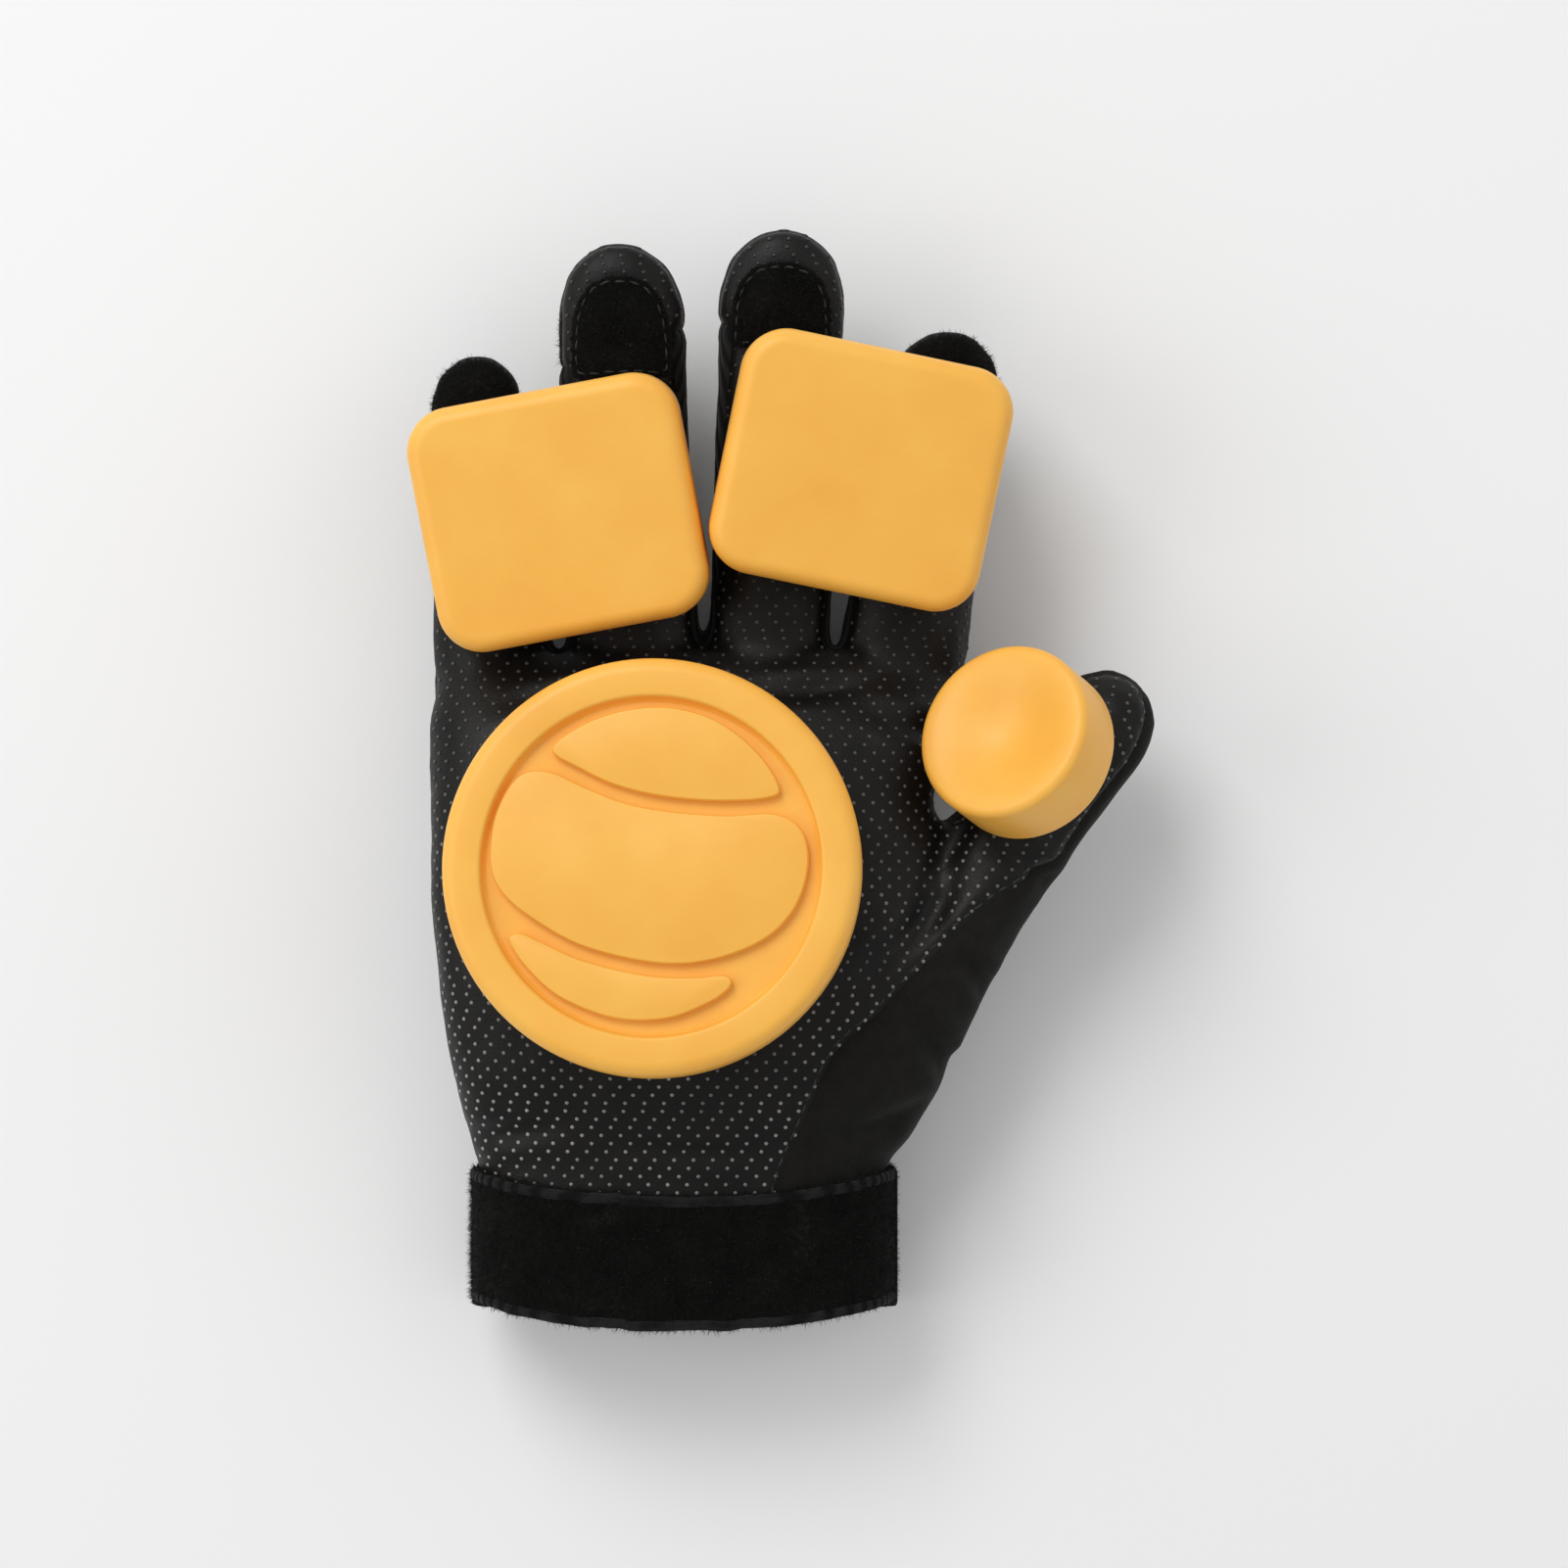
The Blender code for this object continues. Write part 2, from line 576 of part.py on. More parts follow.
def thumb_region(grow):
    """The part of the glove that the thumb's side panel covers."""
    split = seam_height(WRIST_Y + THUMB_SPLIT * HAND_LENGTH)

    def seam(points):
        nudge = grow * 0.75
        return [(HAND_X + across * HAND_WIDTH / 2 - nudge, WRIST_Y + along * HAND_LENGTH + nudge)
                for across, along in points]

    far_x, low_y = 150.0, WRIST_Y - 25.0
    upper = seam(THUMB_SEAM)
    region = plan_prism("thumb_region", upper + [(far_x, upper[-1][1]), (far_x, low_y)], split, 150.0)
    lower = seam(THUMB_BACK_SEAM)
    under = plan_prism("thumb_under", lower + [(far_x, lower[-1][1]), (far_x, low_y)], -50.0, split + 1.0)
    combine(region, under, "UNION")
    start = thumb_point(0.36) + THUMB_FRONT * grow - THUMB_AHEAD * grow
    reach, inner, depth = THUMB_LENGTH, 0.7 * THUMB_WIDTH, 2 * THUMB_THICKNESS
    beyond = 1.5 * THUMB_WIDTH
    rings = []
    for run in (0.0, reach):
        middle = start + THUMB_AHEAD * run
        rings.append([middle - THUMB_SIDE * inner, middle + THUMB_SIDE * beyond,
                      middle + THUMB_SIDE * beyond - THUMB_FRONT * depth,
                      middle - THUMB_SIDE * inner - THUMB_FRONT * depth])
    combine(region, loft("thumb_back", rings), "UNION")
    return region


# Helpers that lay stiff pieces on the glove

def lay(tree, x, y, facing, lift):
    """The point over x, y at a distance from the surface, along its normal."""
    reach = 2.5

    def height(px, py):
        hit = tree.ray_cast(Vector((px, py, FAR * facing)), Vector((0, 0, -facing)))[0]
        return hit.z if hit else None

    middle = height(x, y)
    if middle is None:
        near = tree.find_nearest(Vector((x, y, 20.0)))[0]
        return near + Vector((0, 0, facing * lift))
    slopes = []
    for dx, dy in ((reach, 0.0), (0.0, reach)):
        low, high = height(x - dx, y - dy), height(x + dx, y + dy)
        low = middle if low is None else low
        high = middle if high is None else high
        slopes.append((high - low) / (2 * reach))
    normal = Vector((-slopes[0], -slopes[1], 1.0)).normalized() * facing
    return Vector((x, y, middle)) + normal * lift


def laid_piece(name, tree, facing, heart, outline, rings, surface, shape=None):
    """A piece that follows a surface. Each ring has a share of the outline and its two lifts."""
    bm = bmesh.new()
    count = len(outline)
    sheets = []
    for low_or_high in (1, 2):
        rows = []
        for ring in rings:
            row = []
            for px, py in outline:
                x = heart[0] + ring[0] * (px - heart[0])
                y = heart[1] + ring[0] * (py - heart[1])
                lift = ring[low_or_high]
                if shape and low_or_high == 2:
                    lift = shape(x, y, lift)
                row.append(bm.verts.new(lay(tree, x, y, facing, lift)))
            rows.append(row)
        lift = rings[-1][low_or_high]
        if shape and low_or_high == 2:
            lift = shape(heart[0], heart[1], lift)
        rows.append([bm.verts.new(lay(tree, heart[0], heart[1], facing, lift))])
        sheets.append(rows)
    for rows in sheets:
        for outer, inner in zip(rows, rows[1:]):
            for k in range(count):
                after = (k + 1) % count
                if len(inner) == 1:
                    bm.faces.new((outer[k], outer[after], inner[0]))
                else:
                    bm.faces.new((outer[k], outer[after], inner[after]))
                    bm.faces.new((outer[k], inner[after], inner[k]))
    under, over = sheets[0][0], sheets[1][0]
    for k in range(count):
        after = (k + 1) % count
        bm.faces.new((under[k], under[after], over[after], over[k]))
    return object_of(name, bm, surface)


def laid_strip(name, tree, facing, stations, low, high, surface):
    """A strip that follows a surface. Each station lists the points across it."""
    bm = bmesh.new()
    sheets = []
    for lift in (low, high):
        sheets.append([[bm.verts.new(lay(tree, x, y, facing, lift)) for x, y in row] for row in stations])
    wide = len(stations[0])
    for rows in sheets:
        for before, after in zip(rows, rows[1:]):
            for k in range(wide - 1):
                bm.faces.new((before[k], before[k + 1], after[k + 1]))
                bm.faces.new((before[k], after[k + 1], after[k]))
    under, over = sheets
    rim = [(i, 0) for i in range(len(stations))] + [(len(stations) - 1, k) for k in range(1, wide)]
    rim += [(i, wide - 1) for i in range(len(stations) - 2, -1, -1)]
    rim += [(0, k) for k in range(wide - 2, 0, -1)]
    for (i, k), (m, n) in zip(rim, rim[1:] + rim[:1]):
        bm.faces.new((under[i][k], under[m][n], over[m][n], over[i][k]))
    return object_of(name, bm, surface)


def smooth_loop(points, per_span):
    """A closed smooth curve through points."""
    count = len(points)
    curve = []
    for i in range(count):
        a, b, c, d = (Vector(points[(i + k) % count]) for k in (-1, 0, 1, 2))
        for step in range(per_span):
            t = step / per_span
            point = 0.5 * (2 * b + (c - a) * t + (2 * a - 5 * b + 4 * c - d) * t * t
                           + (3 * b - a - 3 * c + d) * t ** 3)
            curve.append((point.x, point.y))
    return curve


def stadium(width, length, per_end):
    """The outline of a slot that is longer along y, about its own middle."""
    radius = width / 2
    points = []
    for end in (1, -1):
        for k in range(per_end):
            turn = math.pi * k / (per_end - 1)
            across = radius * math.cos(turn) * end
            points.append((across, end * (length / 2 - radius + radius * math.sin(turn))))
    return points


def turned(points, angle, centre):
    """Points turned counter-clockwise about the origin and moved to a centre."""
    cos, sin = math.cos(angle), math.sin(angle)
    return [(centre[0] + cos * x - sin * y, centre[1] + sin * x + cos * y) for x, y in points]


def inset_loop(points, distance):
    """A closed outline moved inward along its corners' normals; it runs clockwise or counter-clockwise."""
    count = len(points)
    area = sum(points[k - 1][0] * points[k][1] - points[k][0] * points[k - 1][1] for k in range(count))
    sign = 1.0 if area > 0 else -1.0
    moved = []
    for k in range(count):
        before, here, after = (Vector(points[(k + n) % count]) for n in (-1, 0, 1))
        tangent = (here - before).normalized() + (after - here).normalized()
        normal = Vector((-tangent.y, tangent.x)).normalized() * sign
        moved.append(tuple(here + normal * distance))
    return moved


# Helpers that place the pucks

def seat(tree, centre, lean, footprint, clear, thickness, turn):
    """A frame on the cloth whose flat base clears the cloth under a footprint."""
    normal = Vector((lean[0], lean[1], 1.0)).normalized()
    reach = -1e9
    for x, y in footprint:
        hit = tree.ray_cast(Vector((x, y, FAR)), Vector((0, 0, -1)))[0]
        if hit:
            reach = max(reach, hit.dot(normal))
    base = reach + clear
    middle_z = (base + thickness / 2 - centre[0] * normal.x - centre[1] * normal.y) / normal.z
    origin = Vector((centre[0], centre[1], middle_z)) - normal * thickness / 2
    ahead = Vector((-math.sin(turn), math.cos(turn), 0))
    side = ahead.cross(normal).normalized()
    ahead = normal.cross(side)
    frame = Matrix((side, ahead, normal)).transposed().to_4x4()
    frame.translation = origin
    return frame


def stacked(name, frame, levels, surface):
    """A solid through flat outlines at heights in a frame."""
    rings = [[frame @ Vector((x, y, height)) for x, y in outline] for height, outline in levels]
    return loft(name, rings, surface)


def circle(radius, count):
    """Points round a circle."""
    return [(radius * math.cos(2 * math.pi * k / count), radius * math.sin(2 * math.pi * k / count))
            for k in range(count)]


def round_box(width, length, corner, per_corner):
    """The outline of a rectangle with round corners."""
    points = []
    for k, (sx, sy) in enumerate(((1, 1), (-1, 1), (-1, -1), (1, -1))):
        for step in range(per_corner):
            turn = math.pi / 2 * (k + step / (per_corner - 1))
            x = sx * (width / 2 - corner) + corner * math.cos(turn)
            y = sy * (length / 2 - corner) + corner * math.sin(turn)
            points.append((x, y))
    return points


# The glove's body: an outer form less an inner one, open at the wrist

outer = glove_form("outer_form", 0.0)
skin = skin_of(outer)
shell = copy_of(outer, "shell", "leather")
combine(shell, glove_form("inner_form", CLOTH), "DIFFERENCE")

thumb_side_panel = copy_of(shell, "thumb_side_panel", "side")
combine(thumb_side_panel, thumb_region(0.0), "INTERSECT")
combine(shell, thumb_region(GAP), "DIFFERENCE")

pairs = list(zip(FINGERS, FINGERS[1:]))
for one, other in pairs:
    strip = copy_of(shell, f"fourchette_{one[0]}_{other[0]}", "knit")
    combine(strip, fourchette_block(one, other, 0.0), "INTERSECT", "MANIFOLD")
for one, other in pairs:
    combine(shell, fourchette_block(one, other, GAP), "DIFFERENCE", "MANIFOLD")

palm_panel = copy_of(shell, "palm_panel", "leather")
combine(palm_panel, half_space("above", True, GAP / 2), "INTERSECT", "MANIFOLD")
back_panel = copy_of(shell, "back_panel", "mesh")
combine(back_panel, half_space("below", False, -GAP / 2), "INTERSECT", "MANIFOLD")
bpy.data.objects.remove(shell, do_unlink=True)
for panel in [each for each in bpy.data.objects if each is not outer]:
    flattened(panel)

# Cuff: the loop band all round, the strap over the back and its label

wrist_middle = HAND_X + HAND_WIDTH / 4 * (HAND_SECTIONS[0][2] - HAND_SECTIONS[0][1])
wrist_half = HAND_WIDTH / 4 * (HAND_SECTIONS[0][1] + HAND_SECTIONS[0][2])


def cuff_point(turn, offset, drop):
    """A point round the wrist, outside the cuff's cloth by an offset and below the band's top edge."""
    half_width = wrist_half + offset
    half_height = HAND_THICKNESS / 2 * HAND_SECTIONS[0][3] + offset
    power = PALM_SQUARENESS if math.sin(turn) > 0 else BACK_SQUARENESS
    across = math.copysign(abs(math.cos(turn)) ** (2 / power), math.cos(turn))
    rise = math.copysign(abs(math.sin(turn)) ** (2 / power), math.sin(turn))
    bow = BAND_BOW * (1 - across * across)
    middle_z = WRIST_BACK + HAND_THICKNESS / 2 * HAND_SECTIONS[0][3]
    return Vector((wrist_middle + half_width * across, BAND_TOP - bow - drop, middle_z + half_height * rise))


def cuff_piece(name, turns, closed, offset, thickness, top, width, surface):
    """A band or strap round the wrist, square at its edges."""
    corners = ((offset, top), (offset + thickness, top), (offset + thickness, top + width / 2),
               (offset + thickness, top + width), (offset, top + width), (offset, top + width / 2))
    rows = [[cuff_point(turn, out, drop) for out, drop in corners] for turn in turns]
    if not closed:
        return loft(name, rows, surface)
    bm = bmesh.new()
    rows = [[bm.verts.new(point) for point in row] for row in rows]
    for before, after in zip(rows, rows[1:] + rows[:1]):
        for k in range(6):
            bm.faces.new((before[k], before[(k + 1) % 6], after[(k + 1) % 6], after[k]))
    return object_of(name, bm, surface)


round_wrist = [2 * math.pi * (k + 0.5) / CUFF_SIDES for k in range(CUFF_SIDES)]
cuff_piece("cuff_band", round_wrist, True, GAP, BAND_THICKNESS, 0.0, BAND_WIDTH, "loop")
strap_steps = 20
over_back = [STRAP_START + (STRAP_END - STRAP_START) * k / strap_steps for k in range(strap_steps + 1)]
wrist_strap = cuff_piece("wrist_strap", over_back, False, 2 * GAP + BAND_THICKNESS, STRAP_THICKNESS,
                         1.0, STRAP_WIDTH, "webbing")
label_steps = 12
label_turns = []
for k in range(label_steps + 1):
    across = ((k / label_steps - 0.5) * LABEL_WIDTH - LABEL_SHARE * HAND_WIDTH) / wrist_half
    label_turns.append(-math.acos(math.copysign(abs(across) ** (BACK_SQUARENESS / 2), across)))
cuff_piece("strap_label", label_turns, False, 2 * GAP + BAND_THICKNESS + STRAP_THICKNESS + SEAT,
           LABEL_THICKNESS, 1.0 + (STRAP_WIDTH - LABEL_LENGTH) / 2, LABEL_LENGTH, "rubber")

# Knuckle guard: a moulded base on the back of the hand, a lobed dome and plain inlays

def on_guard(across, along):
    """A point in plan from shares of the guard's size."""
    return (GUARD_CENTRE[0] + across * GUARD_WIDTH, GUARD_CENTRE[1] + along * GUARD_LENGTH)


guard_outline = []
top_steps = 22
for k in range(top_steps + 1):
    across = GUARD_TOP_FROM + (GUARD_TOP_TO - GUARD_TOP_FROM) * k / top_steps
    wave = math.cos(2 * math.pi * (across - GUARD_TOP_CREST) / GUARD_LOBE)
    guard_outline.append(on_guard(across, GUARD_TOP - 0.25 * across ** 2 + GUARD_LOBE_DEPTH * wave))
guard_outline += [on_guard(across, along) for across, along in GUARD_SIDES]
guard_rings = ((1.0, SEAT, SEAT + 0.6 * GUARD_THICKNESS), (0.97, SEAT, SEAT + GUARD_THICKNESS),
               (0.90, SEAT, SEAT + GUARD_THICKNESS),
               (0.80, SEAT, SEAT + GUARD_THICKNESS), (0.50, SEAT, SEAT + GUARD_THICKNESS))
guard_base = laid_piece("guard_base", skin, -1, GUARD_CENTRE, guard_outline, guard_rings, "rubber")
guard_skin = skin_of(guard_base)


def dome_outline():
    """The dome's long outline, squarer than an ellipse."""
    count = 32
    points = []
    for k in range(count):
        turn = 2 * math.pi * k / count
        x = math.copysign(abs(math.cos(turn)) ** 0.78, math.cos(turn)) * DOME_WIDTH / 2
        y = math.copysign(abs(math.sin(turn)) ** 0.72, math.sin(turn)) * DOME_LENGTH / 2
        points.append((DOME_CENTRE[0] + x, DOME_CENTRE[1] + y))
    return points


def lobes(x, y, lift):
    """Lowers the dome in the valleys between its lobes."""
    phase = (x - DOME_CENTRE[0]) / DOME_WIDTH + 0.5
    valley = math.cos(math.pi * phase * DOME_LOBES) ** 6
    return lift * (1 - DOME_VALLEY * valley)


dome_rings = [(1.0, DOME_SEAT, DOME_SEAT + DOME_EDGE)]
for share in (0.92, 0.74, 0.42):
    bulge = (DOME_HEIGHT - DOME_EDGE) * (1 - share ** 2.6) ** 0.6
    dome_rings.append((share, DOME_SEAT, DOME_SEAT + DOME_EDGE + bulge))
laid_piece("guard_dome", guard_skin, -1, DOME_CENTRE, dome_outline(), dome_rings, "rubber", lobes)

INLAY_RINGS = ((1.0, INLAY_SEAT, INLAY_SEAT + INLAY_THICKNESS), (0.5, INLAY_SEAT, INLAY_SEAT + INLAY_THICKNESS))
crescent_shape = ((0.50, -0.42), (0.40, 0.02), (0.22, 0.40), (0.0, 0.52), (-0.22, 0.40), (-0.40, 0.02),
                  (-0.50, -0.42), (-0.25, -0.30), (0.0, -0.26), (0.25, -0.30))
for number, (across, along, degrees) in enumerate(CRESCENTS, 1):
    centre = on_guard(across, along)
    outline = [(x * CRESCENT_WIDTH, y * CRESCENT_LENGTH) for x, y in crescent_shape]
    laid_piece(f"guard_inlay_{number}", guard_skin, -1, centre,
               turned(outline, math.radians(degrees), centre), INLAY_RINGS, "white")

stripe = []
stripe_steps = 14
for k in range(stripe_steps + 1):
    part = 2 * k / stripe_steps - 1
    half = STRIPE_WIDTH / 2 * max(1 - part * part, 0.0) + 0.35
    x = GUARD_CENTRE[0] + part * STRIPE_SPAN / 2
    y = STRIPE_Y - STRIPE_SAG * (1 - part * part)
    stripe.append([(x, y - half), (x, y + half)])
laid_strip("guard_stripe", guard_skin, -1, stripe, INLAY_SEAT, INLAY_SEAT + INLAY_THICKNESS,
           "white")

for side, hand in ((-1, "outer"), (1, "inner")):
    for shade, y in BARS:
        bar = []
        for k in range(4):
            run = (k / 3 - 0.5) * BAR_LENGTH
            x = GUARD_CENTRE[0] + side * (BAR_SPREAD + run)
            middle = y + run * BAR_SLANT
            bar.append([(x, middle - BAR_WIDTH / 2), (x, middle + BAR_WIDTH / 2)])
        laid_strip(f"guard_bar_{shade}_{hand}", guard_skin, -1, bar, INLAY_SEAT,
                   INLAY_SEAT + INLAY_THICKNESS, shade)

# Backs of the fingers: a finned patch with three dots, and a knuckle pad with its gem

for finger in FINGERS:
    name = finger[0]
    start, ahead, length = finger_line(finger)
    lean = math.atan2(-ahead.x, ahead.y)
    patch_middle = finger_point(finger, PATCH_FROM_TIP[name])

    def on_patch(across, along):
        """A point of the patch in plan, from shares of its size."""
        local = [((across - 0.5) * PATCH_WIDTH, (along - 0.5) * PATCH_LENGTH)]
        return turned(local, lean, patch_middle)[0]

    patch_outline = [on_patch(across, along) for across, along in PATCH_OUTLINE]
    patch = laid_piece(f"finger_patch_{name}", skin, -1, on_patch(*PATCH_HEART), patch_outline,
                       ((1.0, SEAT, SEAT + 0.6 * PATCH_THICKNESS), (0.92, SEAT, SEAT + PATCH_THICKNESS),
                        (0.5, SEAT, SEAT + PATCH_THICKNESS)), "rubber")
    patch_skin = skin_of(patch)
    for number, (across, along, radius) in enumerate(PATCH_DOTS, 1):
        middle = on_patch(across, along)
        ring = turned(circle(radius * PATCH_WIDTH, 10), 0.0, middle)
        laid_piece(f"patch_dot_{name}_{number}", patch_skin, -1, middle, ring,
                   ((1.0, SEAT, SEAT + DOT_THICKNESS),), "yellow")

    pad_middle = finger_point(finger, KNUCKLE_FROM_TIP[name])
    pad_outline = turned(stadium(KNUCKLE_WIDTH, KNUCKLE_LENGTH, 7), lean, pad_middle)
    pad_rings = ((1.0, PAD_SEAT, PAD_SEAT + PAD_FOOT), (0.70, SEAT, SEAT + 1.5 * PAD_FOOT),
                 (0.58, SEAT, SEAT + PAD_SHOULDER * PAD_HEIGHT), (0.38, SEAT, SEAT + PAD_HEIGHT))
    pad = laid_piece(f"knuckle_pad_{name}", skin, -1, pad_middle, pad_outline, pad_rings, "rubber")
    gem_middle = turned([(0.0, GEM_SHARE * KNUCKLE_LENGTH)], lean, pad_middle)[0]
    gem_shape = ((0.50, 0.34), (0.28, 0.50), (-0.28, 0.50), (-0.50, 0.34), (-0.30, -0.22), (0.0, -0.50),
                 (0.30, -0.22))
    gem_outline = turned([(x * GEM_WIDTH, y * GEM_LENGTH) for x, y in gem_shape], lean, gem_middle)
    laid_piece(f"knuckle_gem_{name}", skin_of(pad), -1, gem_middle, gem_outline,
               ((1.0, GEM_SEAT, GEM_SEAT + GEM_THICKNESS),), "gem")

    if name in ("ring", "middle"):
        tip_length = TIP_PATCH_LENGTH[name]
        tip_middle = finger_point(finger, TIP_PATCH_FROM_TIP + 0.5 * tip_length)
        tip_arch = [(x * TIP_PATCH_WIDTH, (y - 0.5) * tip_length) for x, y in TIP_PATCH_ARCH]
        tip_outline = turned(tip_arch, lean, tip_middle)
        laid_piece(f"fingertip_patch_{name}", skin, 1, tip_middle, tip_outline,
                   ((1.0, TIP_SEAT, TIP_SEAT + TIP_PATCH_THICKNESS),
                    (0.75, TIP_SEAT, TIP_SEAT + TIP_PATCH_THICKNESS),
                    (0.40, TIP_SEAT, TIP_SEAT + TIP_PATCH_THICKNESS)), "suede")

# Palm puck: a ring round a recess with three raised lands, on a loop pad that follows the palm

puck_clear = LOOP_SEAT + LOOP_THICKNESS + GAP
loop_radius = PALM_PUCK_RADIUS - PALM_LOOP_MARGIN
palm_footprint = turned(circle(loop_radius, 24), 0.0, PALM_PUCK_CENTRE)
palm_footprint += turned(circle(loop_radius / 2, 12), 0.0, PALM_PUCK_CENTRE) + [PALM_PUCK_CENTRE]
palm_frame = seat(skin, PALM_PUCK_CENTRE, PALM_PUCK_TILT, palm_footprint, puck_clear,
                  PALM_PUCK_THICKNESS, 0.0)
puck_sides = 40
top = PALM_PUCK_THICKNESS
palm_profile = (
    (0.0, PALM_PUCK_RADIUS - PALM_PUCK_CHAMFER), (PALM_PUCK_CHAMFER, PALM_PUCK_RADIUS),
    (top - 2.6, PALM_PUCK_RADIUS), (top - 0.8, PALM_PUCK_RADIUS - 0.8), (top, PALM_PUCK_RADIUS - 2.6),
    (top, RECESS_RADIUS + RECESS_LIP), (top - RECESS_DEPTH, RECESS_RADIUS),
)
palm_puck = stacked("palm_puck", palm_frame,
                    [(height, circle(radius, puck_sides)) for height, radius in palm_profile], "puck")
floor = top - RECESS_DEPTH
for name, points in LANDS.items():
    outline = smooth_loop([(x * RECESS_RADIUS, y * RECESS_RADIUS) for x, y in points], 2)
    land = stacked(name, palm_frame, [
        (floor - 1.0, outline), (floor + LAND_HEIGHT - 0.6, outline),
        (floor + LAND_HEIGHT, inset_loop(outline, LAND_DRAFT)),
    ], "puck")
    combine(palm_puck, land, "UNION")

flattened(palm_puck)

loop_outline = turned(circle(loop_radius, 24), 0.0, PALM_PUCK_CENTRE)
bm = bmesh.new()
pad_rows = []
plane_point = palm_frame @ Vector((0, 0, -GAP))
plane_normal = (palm_frame.to_3x3() @ Z).normalized()
for on_plane in (False, True):
    rows = []
    for share in (1.0, 0.66, 0.33, 0.0):
        row = []
        for x, y in (loop_outline if share else loop_outline[:1]):
            px = PALM_PUCK_CENTRE[0] + share * (x - PALM_PUCK_CENTRE[0])
            py = PALM_PUCK_CENTRE[1] + share * (y - PALM_PUCK_CENTRE[1])
            point = lay(skin, px, py, 1, LOOP_SEAT)
            if on_plane:
                rise = (plane_point - point).dot(plane_normal) / plane_normal.z
                point = point + Z * rise
            row.append(bm.verts.new(point))
        rows.append(row)
    pad_rows.append(rows)
for rows in pad_rows:
    for outer_row, inner_row in zip(rows, rows[1:]):
        for k in range(len(outer_row)):
            after = (k + 1) % len(outer_row)
            if len(inner_row) == 1:
                bm.faces.new((outer_row[k], outer_row[after], inner_row[0]))
            else:
                bm.faces.new((outer_row[k], outer_row[after], inner_row[after]))
                bm.faces.new((outer_row[k], inner_row[after], inner_row[k]))
for k in range(len(loop_outline)):
    after = (k + 1) % len(loop_outline)
    bm.faces.new((pad_rows[0][0][k], pad_rows[0][0][after], pad_rows[1][0][after], pad_rows[1][0][k]))
object_of("palm_loop_pad", bm, "loop")

# Finger pucks, each on a loop pad across two fingers

for name, x, y, degrees, lean_side, lean_wrist in FINGER_PUCKS:
    turn = math.radians(degrees)
    pad_size = (FINGER_PUCK_WIDTH - 2 * LOOP_MARGIN, FINGER_PUCK_LENGTH - 2 * LOOP_MARGIN)
    footprint = []
    for share in (1.0, 0.8, 0.6, 0.4, 0.2):
        box = round_box(pad_size[0] * share, pad_size[1] * share, 5.0 * share, 6)
        footprint += turned(box, turn, (x, y))
    frame = seat(skin, (x, y), (lean_side, -lean_wrist), footprint, puck_clear, FINGER_PUCK_THICKNESS, turn)
    tall = FINGER_PUCK_THICKNESS
    levels = []
    for height, inset in ((0.0, 0.8), (0.8, 0.0), (tall - FINGER_PUCK_EDGE, 0.0),
                          (tall - 0.3 * FINGER_PUCK_EDGE, 0.3 * FINGER_PUCK_EDGE), (tall, FINGER_PUCK_EDGE)):
        levels.append((height, round_box(FINGER_PUCK_WIDTH - 2 * inset, FINGER_PUCK_LENGTH - 2 * inset,
                                         FINGER_PUCK_CORNER - inset, 6)))
    stacked(f"finger_puck_{name}", frame, levels, "puck")
    pad_outline = round_box(pad_size[0], pad_size[1], FINGER_PUCK_CORNER - 3.0, 4)
    stacked(f"finger_loop_pad_{name}", frame,
            [(-GAP - LOOP_THICKNESS, pad_outline), (-GAP, pad_outline)], "loop")

# Thumb puck, square to the front of the thumb

thumb_middle = thumb_point(THUMB_PUCK_SHARE)
start_ray = thumb_middle + THUMB_FRONT * 100.0
reach = -1e9
for along in (-10.0, -5.0, 0.0, 5.0, 10.0):
    for across in (-8.0, 0.0, 8.0):
        ray = start_ray + THUMB_AHEAD * along + THUMB_SIDE * across
        hit = skin.ray_cast(ray, -THUMB_FRONT)[0]
        if hit:
            reach = max(reach, (hit - thumb_middle).dot(THUMB_FRONT))
thumb_frame = Matrix((THUMB_SIDE, THUMB_AHEAD, THUMB_FRONT)).transposed().to_4x4()
thumb_frame.translation = thumb_middle + THUMB_FRONT * (reach + puck_clear)
tall = THUMB_PUCK_THICKNESS
thumb_profile = ((0.0, THUMB_PUCK_RADIUS - 1.0), (1.0, THUMB_PUCK_RADIUS),
                 (tall - THUMB_PUCK_EDGE, THUMB_PUCK_RADIUS),
                 (tall - 0.3 * THUMB_PUCK_EDGE, THUMB_PUCK_RADIUS - 0.3 * THUMB_PUCK_EDGE),
                 (tall, THUMB_PUCK_RADIUS - THUMB_PUCK_EDGE))
stacked("thumb_puck", thumb_frame, [(height, circle(radius, 32)) for height, radius in thumb_profile], "puck")
thumb_loop = circle(THUMB_PUCK_RADIUS - LOOP_MARGIN, 20)
stacked("thumb_loop_pad", thumb_frame, [(-GAP - LOOP_THICKNESS, thumb_loop), (-GAP, thumb_loop)], "loop")

# The origin goes to the middle of the underside of the box round the whole glove

bpy.data.objects.remove(outer, do_unlink=True)
corners = [vertex.co for each in bpy.data.objects for vertex in each.data.vertices]
low = Vector([min(corner[axis] for corner in corners) for axis in range(3)])
high = Vector([max(corner[axis] for corner in corners) for axis in range(3)])
for each in bpy.data.objects:
    each.location = -Vector(((low.x + high.x) / 2, (low.y + high.y) / 2, low.z))
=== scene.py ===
import json
import math

import bmesh
import bpy
import numpy as np
from mathutils import Matrix, Vector, noise
from mathutils.bvhtree import BVHTree

